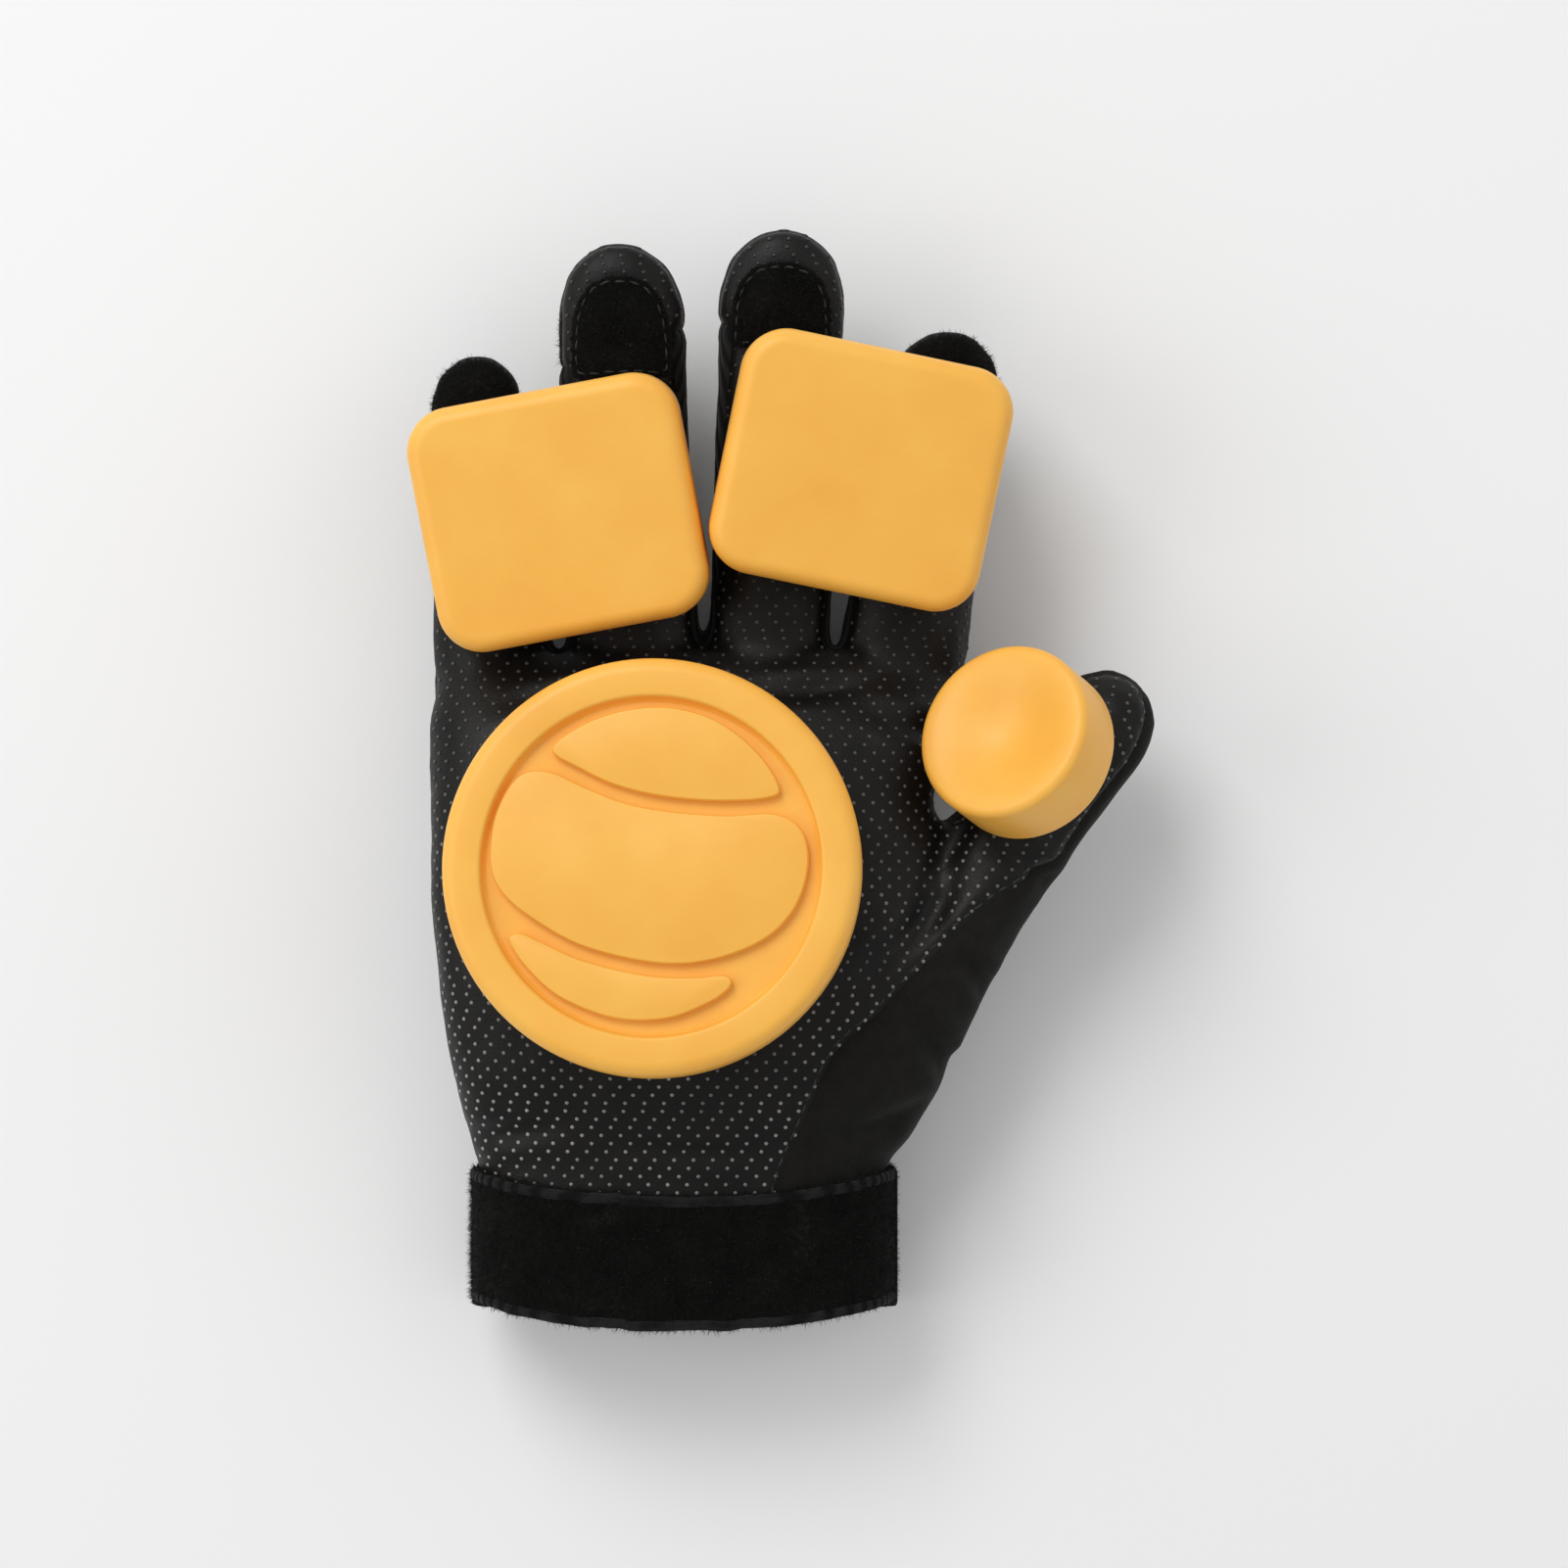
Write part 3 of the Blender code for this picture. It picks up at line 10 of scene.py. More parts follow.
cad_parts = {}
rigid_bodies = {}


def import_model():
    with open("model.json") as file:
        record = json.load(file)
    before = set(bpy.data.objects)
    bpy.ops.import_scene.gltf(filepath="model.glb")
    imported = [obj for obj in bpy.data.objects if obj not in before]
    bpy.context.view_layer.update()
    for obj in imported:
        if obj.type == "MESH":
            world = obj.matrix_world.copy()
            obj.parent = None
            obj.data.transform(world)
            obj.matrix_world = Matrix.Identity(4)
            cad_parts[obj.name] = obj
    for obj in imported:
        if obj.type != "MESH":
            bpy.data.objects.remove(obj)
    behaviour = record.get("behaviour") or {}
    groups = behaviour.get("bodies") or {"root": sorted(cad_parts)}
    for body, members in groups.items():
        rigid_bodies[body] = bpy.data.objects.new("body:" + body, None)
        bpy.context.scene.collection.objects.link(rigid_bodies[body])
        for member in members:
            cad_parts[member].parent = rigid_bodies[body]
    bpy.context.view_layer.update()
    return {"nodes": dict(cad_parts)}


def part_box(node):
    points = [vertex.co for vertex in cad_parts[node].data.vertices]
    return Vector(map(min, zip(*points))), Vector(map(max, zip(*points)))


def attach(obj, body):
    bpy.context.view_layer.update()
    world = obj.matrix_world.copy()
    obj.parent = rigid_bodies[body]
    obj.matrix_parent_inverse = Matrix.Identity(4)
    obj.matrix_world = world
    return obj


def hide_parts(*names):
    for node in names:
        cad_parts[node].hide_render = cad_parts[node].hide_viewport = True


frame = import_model()
glove_nodes = frame["nodes"]

# The glove's body: leather over the palm, mesh cloth over the back, knit between the fingers
# and a smooth cloth round the thumb. The panels are sewn edge to edge and turned, so each
# seam lies in a shallow groove and the cloth swells a little beside it.

CLOTH_WALL = 0.0016
SKIN_SWELL = 0.00025     # closes the gaps between the panels
SKIN_GRID = 0.00125
SKIN_SMOOTHING = 15
PLUG_REACH = 0.0008      # rim of the wrist that the plug is made from
PLUG_THICK = 0.0040
WRIST_TRIM = 0.0012      # what is cut off at the wrist, with the plug
SEAM_SMOOTHING = 11
SEAM_DEPTH = 0.00055
SEAM_REACH = 0.0010
SKIN_PANELS = ("palm_panel", "back_panel", "thumb_side_panel", "fourchette_pinky_ring",
               "fourchette_ring_middle", "fourchette_middle_index")


def only(obj):
    """Selects one object and makes it active."""
    bpy.ops.object.select_all(action="DESELECT")
    obj.select_set(True)
    bpy.context.view_layer.objects.active = obj


def copied(node, name):
    """A copy of a solid with its own mesh and its corners merged."""
    copy = bpy.data.objects.new(name, glove_nodes[node].data.copy())
    bpy.context.scene.collection.objects.link(copy)
    only(copy)
    bpy.ops.object.mode_set(mode="EDIT")
    bpy.ops.mesh.select_all(action="SELECT")
    bpy.ops.mesh.remove_doubles(threshold=0.00001)
    bpy.ops.object.mode_set(mode="OBJECT")
    copy.data.materials.clear()
    return copy


def with_modifier(obj, kind, **settings):
    """Adds one modifier and applies it."""
    only(obj)
    modifier = obj.modifiers.new(kind.lower(), kind)
    for key, value in settings.items():
        setattr(modifier, key, value)
    bpy.ops.object.modifier_apply(modifier=modifier.name)
    return obj


def corners(mesh):
    """The mesh's points as an array."""
    flat = np.empty(len(mesh.vertices) * 3, np.float32)
    mesh.vertices.foreach_get("co", flat)
    return flat.reshape(-1, 3).astype(float)


def set_corners(mesh, points):
    """Moves the mesh's points."""
    mesh.vertices.foreach_set("co", np.asarray(points, np.float32).ravel())
    mesh.update()


def new_mesh_object(name, points, faces):
    """An object from arrays of points and faces."""
    mesh = bpy.data.meshes.new(name)
    mesh.from_pydata([tuple(p) for p in points], [], [tuple(f) for f in faces])
    mesh.update()
    made = bpy.data.objects.new(name, mesh)
    bpy.context.scene.collection.objects.link(made)
    return made


def normals_of(mesh):
    """The normals at the mesh's points as an array."""
    flat = np.empty(len(mesh.vertices) * 3, np.float32)
    mesh.vertex_normals.foreach_get("vector", flat)
    return flat.reshape(-1, 3).astype(float)


def tree_of(obj):
    """A search tree over a piece."""
    return BVHTree.FromPolygons([v.co for v in obj.data.vertices], [list(p.vertices) for p in obj.data.polygons])


# One skin over all the panels, closed at the wrist while it is being made
wrist_y = min(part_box(node)[0].y for node in ("palm_panel", "back_panel"))
panel_copies = []
for node in SKIN_PANELS:
    panel_copy = copied(node, "panel_copy_" + node)
    with_modifier(panel_copy, "DISPLACE", strength=SKIN_SWELL, mid_level=0.0)
    panel_copies.append(panel_copy)
rim = []
for panel_copy in panel_copies:
    points = corners(panel_copy.data)
    rim.extend(points[points[:, 1] < wrist_y + PLUG_REACH])
plug_shape = bmesh.new()
for point in rim:
    for y in (wrist_y, wrist_y + PLUG_THICK):
        plug_shape.verts.new((point[0], y, point[2]))
hull = bmesh.ops.convex_hull(plug_shape, input=plug_shape.verts[:])
bmesh.ops.delete(plug_shape, geom=list(set(hull["geom_interior"]) | set(hull["geom_unused"])), context="VERTS")
plug_mesh = bpy.data.meshes.new("plug")
plug_shape.to_mesh(plug_mesh)
plug_shape.free()
plug = bpy.data.objects.new("plug", plug_mesh)
bpy.context.scene.collection.objects.link(plug)
bpy.ops.object.select_all(action="DESELECT")
for each in panel_copies + [plug]:
    each.select_set(True)
bpy.context.view_layer.objects.active = panel_copies[0]
bpy.ops.object.join()
skin = bpy.context.view_layer.objects.active
skin.name = "glove_skin"
with_modifier(skin, "REMESH", mode="VOXEL", voxel_size=SKIN_GRID, adaptivity=0.0)

# Only the outer face of the remeshed wall is kept: the wall's thickness comes back later
skin_shape = bmesh.new()
skin_shape.from_mesh(skin.data)
skin_shape.verts.ensure_lookup_table()
group_of = [-1] * len(skin_shape.verts)
groups = []
for start in skin_shape.verts:
    if group_of[start.index] >= 0:
        continue
    number, queue = len(groups), [start]
    group_of[start.index] = number
    members = []
    while queue:
        corner = queue.pop()
        members.append(corner)
        for edge in corner.link_edges:
            other = edge.other_vert(corner)
            if group_of[other.index] < 0:
                group_of[other.index] = number
                queue.append(other)
    groups.append(members)
outermost = max(groups, key=lambda members: max(v.co.y for v in members) - min(v.co.y for v in members))
kept = set(outermost)
bmesh.ops.delete(skin_shape, geom=[v for v in skin_shape.verts if v not in kept], context="VERTS")
skin_shape.to_mesh(skin.data)
skin_shape.free()
with_modifier(skin, "SMOOTH", factor=0.5, iterations=SKIN_SMOOTHING)

# Which panel each face belongs to, from the nearest solid panel
panel_points, panel_faces, face_panel = [], [], []
for number, node in enumerate(SKIN_PANELS):
    mesh = glove_nodes[node].data
    first = len(panel_points)
    panel_points.extend(v.co.copy() for v in mesh.vertices)
    for polygon in mesh.polygons:
        panel_faces.append([first + k for k in polygon.vertices])
        face_panel.append(number)
panel_tree = BVHTree.FromPolygons(panel_points, panel_faces)
skin_mesh = skin.data
face_label = np.zeros(len(skin_mesh.polygons), int)
face_centre = np.array([tuple(polygon.center) for polygon in skin_mesh.polygons])
for polygon in skin_mesh.polygons:
    found = panel_tree.find_nearest(polygon.center)
    face_label[polygon.index] = face_panel[found[2]]

# Loop cloth covers the palm side of the little and index fingers' tips
LOOP_TIPS = {"pinky": (-0.068, 0.0805, -0.10), "index": (0.036, 0.0850, 0.14)}     # x, y and slope of their edges
LOOP_TIP_REACH = 0.019
LOOP_TIP_BOW = 14.0
LOOP_LABELS = {}
for number, (finger, (x, y, slope)) in enumerate(LOOP_TIPS.items()):
    LOOP_LABELS[finger] = len(SKIN_PANELS) + number
    near = (np.abs(face_centre[:, 0] - x) < LOOP_TIP_REACH) & (face_label == 0)
    edge_line = y - slope * (face_centre[:, 0] - x) - LOOP_TIP_BOW * (face_centre[:, 0] - x) ** 2
    face_label[near & (face_centre[:, 1] > edge_line)] = LOOP_LABELS[finger]

edge_faces = {}
for polygon in skin_mesh.polygons:
    for key in polygon.edge_keys:
        edge_faces.setdefault(key, []).append(polygon.index)
for sweep in range(4):
    votes = [[] for polygon in skin_mesh.polygons]
    for pair in edge_faces.values():
        if len(pair) == 2:
            votes[pair[0]].append(face_label[pair[1]])
            votes[pair[1]].append(face_label[pair[0]])
    changed = face_label.copy()
    for index, found in enumerate(votes):
        most = max(set(found), key=found.count) if found else face_label[index]
        if found.count(most) >= 3:
            changed[index] = most
    face_label = changed

# Seams are drawn smooth along their own line, and the faces beside them follow
seam_edges = np.array([key for key, pair in edge_faces.items()
                       if len(pair) == 2 and face_label[pair[0]] != face_label[pair[1]]])
all_edges = np.array(list(edge_faces.keys()))
points = corners(skin_mesh)
on_seam = np.zeros(len(points), bool)
on_seam[seam_edges.ravel()] = True


def averaged(points, edges, factor, movable):
    """One step of each movable point towards the middle of its neighbours."""
    total = np.zeros_like(points)
    count = np.zeros(len(points))
    for a, b in ((0, 1), (1, 0)):
        np.add.at(total, edges[:, a], points[edges[:, b]])
        np.add.at(count, edges[:, a], 1)
    moves = movable & (count > 0)
    result = points.copy()
    result[moves] += factor * (total[moves] / count[moves, None] - points[moves])
    return result


for step in range(SEAM_SMOOTHING):
    points = averaged(points, seam_edges, 0.6, on_seam)
    points = averaged(points, all_edges, 0.35, ~on_seam)
edge_length = np.linalg.norm(points[all_edges[:, 0]] - points[all_edges[:, 1]], axis=1)
seam_distance = np.where(on_seam, 0.0, 1.0)
for step in range(10):
    for a, b in ((0, 1), (1, 0)):
        np.minimum.at(seam_distance, all_edges[:, a], seam_distance[all_edges[:, b]] + edge_length)
set_corners(skin_mesh, points)

# Folds: soft creases where the cloth gathers, and a slow swelling all over
FOLDS = (
    # x, y, turn in degrees, half length, half width, depth, on the palm side or the back
    (-0.0420, 0.0200, 12, 0.016, 0.0022, 0.0016, 1),
    (-0.0230, 0.0150, -22, 0.012, 0.0020, 0.0013, 1),
    (0.0060, 0.0205, 6, 0.013, 0.0020, 0.0013, 1),
    (0.0300, 0.0120, -14, 0.012, 0.0022, 0.0014, 1),
    (0.0380, -0.0100, 62, 0.016, 0.0024, 0.0016, 1),
    (0.0300, -0.0300, 50, 0.018, 0.0026, 0.0014, 1),
    (0.0420, -0.0420, 128, 0.012, 0.0022, 0.0015, 1),
    (0.0340, -0.0600, 118, 0.012, 0.0024, 0.0016, 1),
    (0.0220, -0.0740, 20, 0.014, 0.0022, 0.0014, 1),
    (0.0560, -0.0200, 140, 0.012, 0.0022, 0.0012, 1),
    (-0.0600, -0.0760, 6, 0.014, 0.0020, 0.0009, 1),
    (-0.0200, -0.0800, -4, 0.018, 0.0018, 0.0007, 1),
    (-0.0660, 0.0420, 5, 0.010, 0.0016, 0.0010, -1),
    (-0.0350, 0.0480, 0, 0.012, 0.0016, 0.0010, -1),
    (-0.0020, 0.0480, 0, 0.012, 0.0016, 0.0010, -1),
    (0.0300, 0.0420, -4, 0.012, 0.0016, 0.0010, -1),
)
normals = normals_of(skin_mesh)
lift = -SEAM_DEPTH * np.exp(-(seam_distance / SEAM_REACH) ** 2)
lift += 0.00018 * np.exp(-((seam_distance - 0.0030) / 0.0012) ** 2)
for x, y, degrees, half_length, half_width, depth, side in FOLDS:
    turn = math.radians(degrees)
    along = (points[:, 0] - x) * math.cos(turn) + (points[:, 1] - y) * math.sin(turn)
    across = -(points[:, 0] - x) * math.sin(turn) + (points[:, 1] - y) * math.cos(turn)
    across = across - 6.0 * along ** 2
    shape = np.exp(-(along / half_length) ** 2 * 1.5)
    across = np.abs(across) / half_width
    dip = np.exp(-across ** 2) - 0.45 * np.exp(-(across - 2.1) ** 2)
    facing = np.clip(normals[:, 2] * side * 2.0, 0.0, 1.0)
    lift -= depth * shape * dip * facing
for index in range(len(points)):
    place = Vector(points[index])
    lift[index] += 0.00042 * noise.noise(place * 62.0) + 0.00016 * noise.noise(place * 190.0)
points = points + normals * lift[:, None]
set_corners(skin_mesh, points)
skin_tree = BVHTree.FromPolygons([Vector(p) for p in points], [list(p.vertices) for p in skin_mesh.polygons])


def panel_piece(name, label):
    """The faces of one panel as a piece of its own, with its wall inwards."""
    chosen = np.flatnonzero((face_label == label) & (face_centre[:, 1] > wrist_y + WRIST_TRIM))
    used, faces = {}, []
    for index in chosen:
        faces.append([used.setdefault(k, len(used)) for k in skin_mesh.polygons[index].vertices])
    piece = new_mesh_object(name, points[list(used)], faces)
    with_modifier(piece, "SOLIDIFY", thickness=CLOTH_WALL, offset=-1.0, use_even_offset=False)
    piece.data.shade_smooth()
    piece.data.set_sharp_from_angle(angle=math.radians(60))
    return piece


def nodes_of(material):
    """The material's node tree, its nodes and its Principled shader."""
    material.use_nodes = True
    tree = material.node_tree
    return tree, tree.nodes, tree.nodes["Principled BSDF"]


def colour_ramp(tree, stops, source):
    """A ramp of colours over a texture's value."""
    ramp = tree.nodes.new("ShaderNodeValToRGB")
    while len(ramp.color_ramp.elements) < len(stops):
        ramp.color_ramp.elements.new(0.5)
    for element, (place, colour) in zip(ramp.color_ramp.elements, stops):
        element.position = place
        element.color = (*colour, 1.0)
    tree.links.new(source, ramp.inputs["Fac"])
    return ramp.outputs["Color"]


def object_space(tree, scale, turn=0.0):
    """Object coordinates, scaled and turned for a pattern."""
    place = tree.nodes.new("ShaderNodeTexCoord")
    mapping = tree.nodes.new("ShaderNodeMapping")
    mapping.inputs["Scale"].default_value = scale if hasattr(scale, "__len__") else (scale, scale, scale)
    mapping.inputs["Rotation"].default_value = (0.0, 0.0, turn)
    tree.links.new(place.outputs["Object"], mapping.inputs["Vector"])
    return mapping.outputs["Vector"]


def noise_texture(tree, scale, detail=3.0, roughness=0.5):
    """A noise over Object coordinates, with its scale in patches for each metre."""
    texture = tree.nodes.new("ShaderNodeTexNoise")
    texture.inputs["Scale"].default_value = 1.0
    texture.inputs["Detail"].default_value = detail
    texture.inputs["Roughness"].default_value = roughness
    tree.links.new(object_space(tree, scale), texture.inputs["Vector"])
    return texture.outputs["Fac"]


def bumped(tree, shader, heights):
    """Stacks bump layers of value, strength and depth in metres under the shader's normal."""
    below = None
    for value, strength, depth in heights:
        bump = tree.nodes.new("ShaderNodeBump")
        bump.inputs["Strength"].default_value = strength
        bump.inputs["Distance"].default_value = depth
        tree.links.new(value, bump.inputs["Height"])
        if below:
            tree.links.new(below, bump.inputs["Normal"])
        below = bump.outputs["Normal"]
    tree.links.new(below, shader.inputs["Normal"])


def roughened(tree, shader, value, low, high):
    """Varies the roughness between two values."""
    span = tree.nodes.new("ShaderNodeMapRange")
    span.inputs["To Min"].default_value = low
    span.inputs["To Max"].default_value = high
    tree.links.new(value, span.inputs["Value"])
    tree.links.new(span.outputs["Result"], shader.inputs["Roughness"])


palm_hide = bpy.data.materials.new("palm_leather")
tree, nodes, shader = nodes_of(palm_hide)
grain = nodes.new("ShaderNodeTexVoronoi")
grain.feature = "F1"
grain.inputs["Scale"].default_value = 1.0
tree.links.new(object_space(tree, 1500.0), grain.inputs["Vector"])
tone = noise_texture(tree, 90.0, 4.0)
tree.links.new(colour_ramp(tree, ((0.3, (0.0030, 0.0026, 0.0023)), (0.75, (0.0070, 0.0060, 0.0052))), tone),
               shader.inputs["Base Color"])
roughened(tree, shader, noise_texture(tree, 240.0, 3.0), 0.36, 0.58)
shader.inputs["Specular IOR Level"].default_value = 0.24
bumped(tree, shader, ((tone, 0.25, 0.0006), (grain.outputs["Distance"], 0.35, 0.00012)))

back_cloth = bpy.data.materials.new("back_mesh")
tree, nodes, shader = nodes_of(back_cloth)
holes = nodes.new("ShaderNodeTexVoronoi")
holes.feature = "F1"
holes.inputs["Scale"].default_value = 1.0
holes.inputs["Randomness"].default_value = 0.12
tree.links.new(object_space(tree, (900.0, 620.0, 700.0), math.radians(45)), holes.inputs["Vector"])
tree.links.new(colour_ramp(tree, ((0.15, (0.003, 0.003, 0.003)), (0.45, (0.018, 0.018, 0.018))),
                           holes.outputs["Distance"]), shader.inputs["Base Color"])
shader.inputs["Roughness"].default_value = 0.82
shader.inputs["Specular IOR Level"].default_value = 0.2
shader.inputs["Sheen Weight"].default_value = 0.05
bumped(tree, shader, ((holes.outputs["Distance"], 0.8, 0.0003),))

thumb_weave = bpy.data.materials.new("thumb_cloth")
tree, nodes, shader = nodes_of(thumb_weave)
across_weave = nodes.new("ShaderNodeTexWave")
across_weave.inputs["Scale"].default_value = 1.0
across_weave.inputs["Distortion"].default_value = 0.6
tree.links.new(object_space(tree, 420.0, math.radians(30)), across_weave.inputs["Vector"])
along_weave = nodes.new("ShaderNodeTexWave")
along_weave.inputs["Scale"].default_value = 1.0
along_weave.inputs["Distortion"].default_value = 0.6
tree.links.new(object_space(tree, 420.0, math.radians(120)), along_weave.inputs["Vector"])
tone = noise_texture(tree, 260.0, 5.0, 0.7)
tree.links.new(colour_ramp(tree, ((0.25, (0.0050, 0.0047, 0.0040)), (0.8, (0.0115, 0.0108, 0.0092))), tone),
               shader.inputs["Base Color"])
shader.inputs["Roughness"].default_value = 0.78
shader.inputs["Specular IOR Level"].default_value = 0.16
shader.inputs["Sheen Weight"].default_value = 0.03
shader.inputs["Sheen Roughness"].default_value = 0.5
bumped(tree, shader, ((across_weave.outputs["Fac"], 0.35, 0.00012), (along_weave.outputs["Fac"], 0.35, 0.00012),
                      (tone, 0.3, 0.0003)))

knit_cloth = bpy.data.materials.new("rib_knit")
tree, nodes, shader = nodes_of(knit_cloth)
ribs = nodes.new("ShaderNodeTexWave")
ribs.bands_direction = "Z"
ribs.inputs["Scale"].default_value = 1.0
ribs.inputs["Distortion"].default_value = 0.3
tree.links.new(object_space(tree, 210.0), ribs.inputs["Vector"])
tree.links.new(colour_ramp(tree, ((0.2, (0.003, 0.003, 0.003)), (0.8, (0.013, 0.013, 0.013))), ribs.outputs["Fac"]),
               shader.inputs["Base Color"])
shader.inputs["Roughness"].default_value = 0.9
shader.inputs["Specular IOR Level"].default_value = 0.15
shader.inputs["Sheen Weight"].default_value = 0.05
bumped(tree, shader, ((ribs.outputs["Fac"], 0.8, 0.0005),))

loop_cloth = bpy.data.materials.new("loop_cloth")
tree, nodes, shader = nodes_of(loop_cloth)
nap = noise_texture(tree, 1100.0, 6.0, 0.75)
patches = noise_texture(tree, 120.0, 3.0)
mixed = nodes.new("ShaderNodeMath")
mixed.operation = "MULTIPLY"
tree.links.new(nap, mixed.inputs[0])
tree.links.new(patches, mixed.inputs[1])
# The ramp's pale top stop paints specks of glint on the loops, over the cloth's random dark tone.
tree.links.new(colour_ramp(tree, ((0.14, (0.0025, 0.0025, 0.0022)), (0.34, (0.0060, 0.0060, 0.0054)),
                                  (0.46, (0.020, 0.020, 0.018))), mixed.outputs["Value"]),
               shader.inputs["Base Color"])
shader.inputs["Roughness"].default_value = 0.95
shader.inputs["Specular IOR Level"].default_value = 0.10
shader.inputs["Sheen Weight"].default_value = 0.03
shader.inputs["Sheen Roughness"].default_value = 0.4
bumped(tree, shader, ((nap, 0.9, 0.0006),))

palm_leather = panel_piece("palm_leather", 0)
palm_leather.data.materials.append(palm_hide)
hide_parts("palm_panel")
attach(palm_leather, "root")

back_mesh = panel_piece("back_mesh", 1)
back_mesh.data.materials.append(back_cloth)
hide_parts("back_panel")
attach(back_mesh, "root")

thumb_cloth = panel_piece("thumb_cloth", 2)
thumb_cloth.data.materials.append(thumb_weave)
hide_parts("thumb_side_panel")
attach(thumb_cloth, "root")

for label in (3, 4, 5):
    node = SKIN_PANELS[label]
    knit = panel_piece(node.replace("fourchette", "knit"), label)
    knit.data.materials.append(knit_cloth)
    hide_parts(node)
    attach(knit, "root")

for finger, label in LOOP_LABELS.items():
    tip = panel_piece("tip_cloth_" + finger, label)
    tip.data.materials.append(loop_cloth)
    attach(tip, "root")

bpy.data.objects.remove(skin, do_unlink=True)

# Stitching along the thumb's seam: dark thread in short runs a little inside the leather's
# edge. Each stitch dips into the leather at both ends.

STITCH_LENGTH = 0.0025
STITCH_GAP = 0.0008
STITCH_RADIUS = 0.00024
STITCH_SIDES = 6
STITCH_RISE = 0.00022
STITCH_SINK = 0.00012
SEAM_MARGIN = 0.0014     # from the seam to its stitches


def along_path(path, step):
    """The path again, with its points one step apart."""
    result, spare = [path[0]], 0.0
    for before, after in zip(path, path[1:]):
        length = (after - before).length
        place = step - spare
        while place <= length and length > 0:
            result.append(before.lerp(after, place / length))
            place += step
        spare = length - (place - step)
    return result


def stitched(name, path, surface, thread, rise=STITCH_RISE):
    """A run of raised stitches along a path on a surface."""
    fine = 0.0003
    line = along_path(path, fine)
    each, pause = round(STITCH_LENGTH / fine), round(STITCH_GAP / fine)
    stitch_points, stitch_faces = [], []
    for start in range(0, len(line) - each, each + pause):
        rings = []
        for k in range(5):
            share = k / 4
            place = line[start + round(share * each)]
            spot, normal, face, distance = surface.find_nearest(place)
            ahead = (line[start + each] - line[start]).normalized()
            side = normal.cross(ahead).normalized()
            bow = math.sin(math.pi * share)
            middle = spot + normal * (rise * bow - STITCH_SINK)
            wide = STITCH_RADIUS * (0.55 + 0.45 * bow)
            rings.append(len(stitch_points))
            for n in range(STITCH_SIDES):
                turn = 2 * math.pi * n / STITCH_SIDES
                stitch_points.append(middle + (side * math.cos(turn) + normal * math.sin(turn)) * wide)
        for before, after in zip(rings, rings[1:]):
            for n in range(STITCH_SIDES):
                other = (n + 1) % STITCH_SIDES
                stitch_faces.append((before + n, before + other, after + other, after + n))
        stitch_faces.append(tuple(rings[0] + n for n in reversed(range(STITCH_SIDES))))
        stitch_faces.append(tuple(rings[-1] + n for n in range(STITCH_SIDES)))
    run = new_mesh_object(name, stitch_points, stitch_faces)
    run.data.shade_smooth()
    run.data.materials.append(thread)
    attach(run, "root")
    return run


def thread_of(name, dark, light):
    """Twisted thread."""
    thread = bpy.data.materials.new(name)
    tree, nodes, shader = nodes_of(thread)
    tree.links.new(colour_ramp(tree, ((0.3, dark), (0.7, light)), noise_texture(tree, 900.0, 3.0)),
                   shader.inputs["Base Color"])
    roughened(tree, shader, noise_texture(tree, 1300.0, 2.0), 0.55, 0.8)
    bumped(tree, shader, ((noise_texture(tree, (2400.0, 900.0, 2400.0), 2.0), 0.5, 0.0001),))
    return thread


dark_thread = thread_of("dark_thread", (0.012, 0.012, 0.011), (0.035, 0.035, 0.033))

neighbours, leather_side = {}, {}
for key, pair in edge_faces.items():
    if len(pair) == 2 and {face_label[pair[0]], face_label[pair[1]]} == {0, 2}:
        leather_face = pair[0] if face_label[pair[0]] == 0 else pair[1]
        for corner, other in (key, key[::-1]):
            neighbours.setdefault(corner, []).append(other)
            leather_side.setdefault(corner, []).append(leather_face)
ends = [corner for corner, others in neighbours.items() if len(others) == 1]
walks = []
for start in ends or list(neighbours)[:1]:
    if any(start in walk for walk in walks):
        continue
    walk, corner = [start], start
    while True:
        onward = [other for other in neighbours[corner] if other not in walk[-3:]]
        if not onward or len(walk) > 4000:
            break
        corner = onward[0]
        walk.append(corner)
    walks.append(walk)
seam_walk = max(walks, key=len)
seam_path = []
for corner in seam_walk:
    towards = Vector(np.mean([face_centre[index] for index in leather_side[corner]], axis=0)) - Vector(points[corner])
    normal = Vector(normals[corner])
    towards = (towards - normal * towards.dot(normal)).normalized()
    seam_path.append(Vector(points[corner]) + towards * SEAM_MARGIN)
for sweep in range(6):
    seam_path = ([seam_path[0]] + [(a + b * 2 + c) / 4 for a, b, c in zip(seam_path, seam_path[1:], seam_path[2:])]
                 + [seam_path[-1]])
stitched("thumb_stitches", seam_path, skin_tree, dark_thread)

# Grip dots: beads of grey rubber printed on the palm's leather in rows, each row
# set half a step from the last. They follow the leather over its folds and sides.

DOT_RADIUS = 0.00050
DOT_HEIGHT = 0.00030
DOT_STEP = 0.0042
DOT_ROW = 0.0018
DOT_SIDES = 7

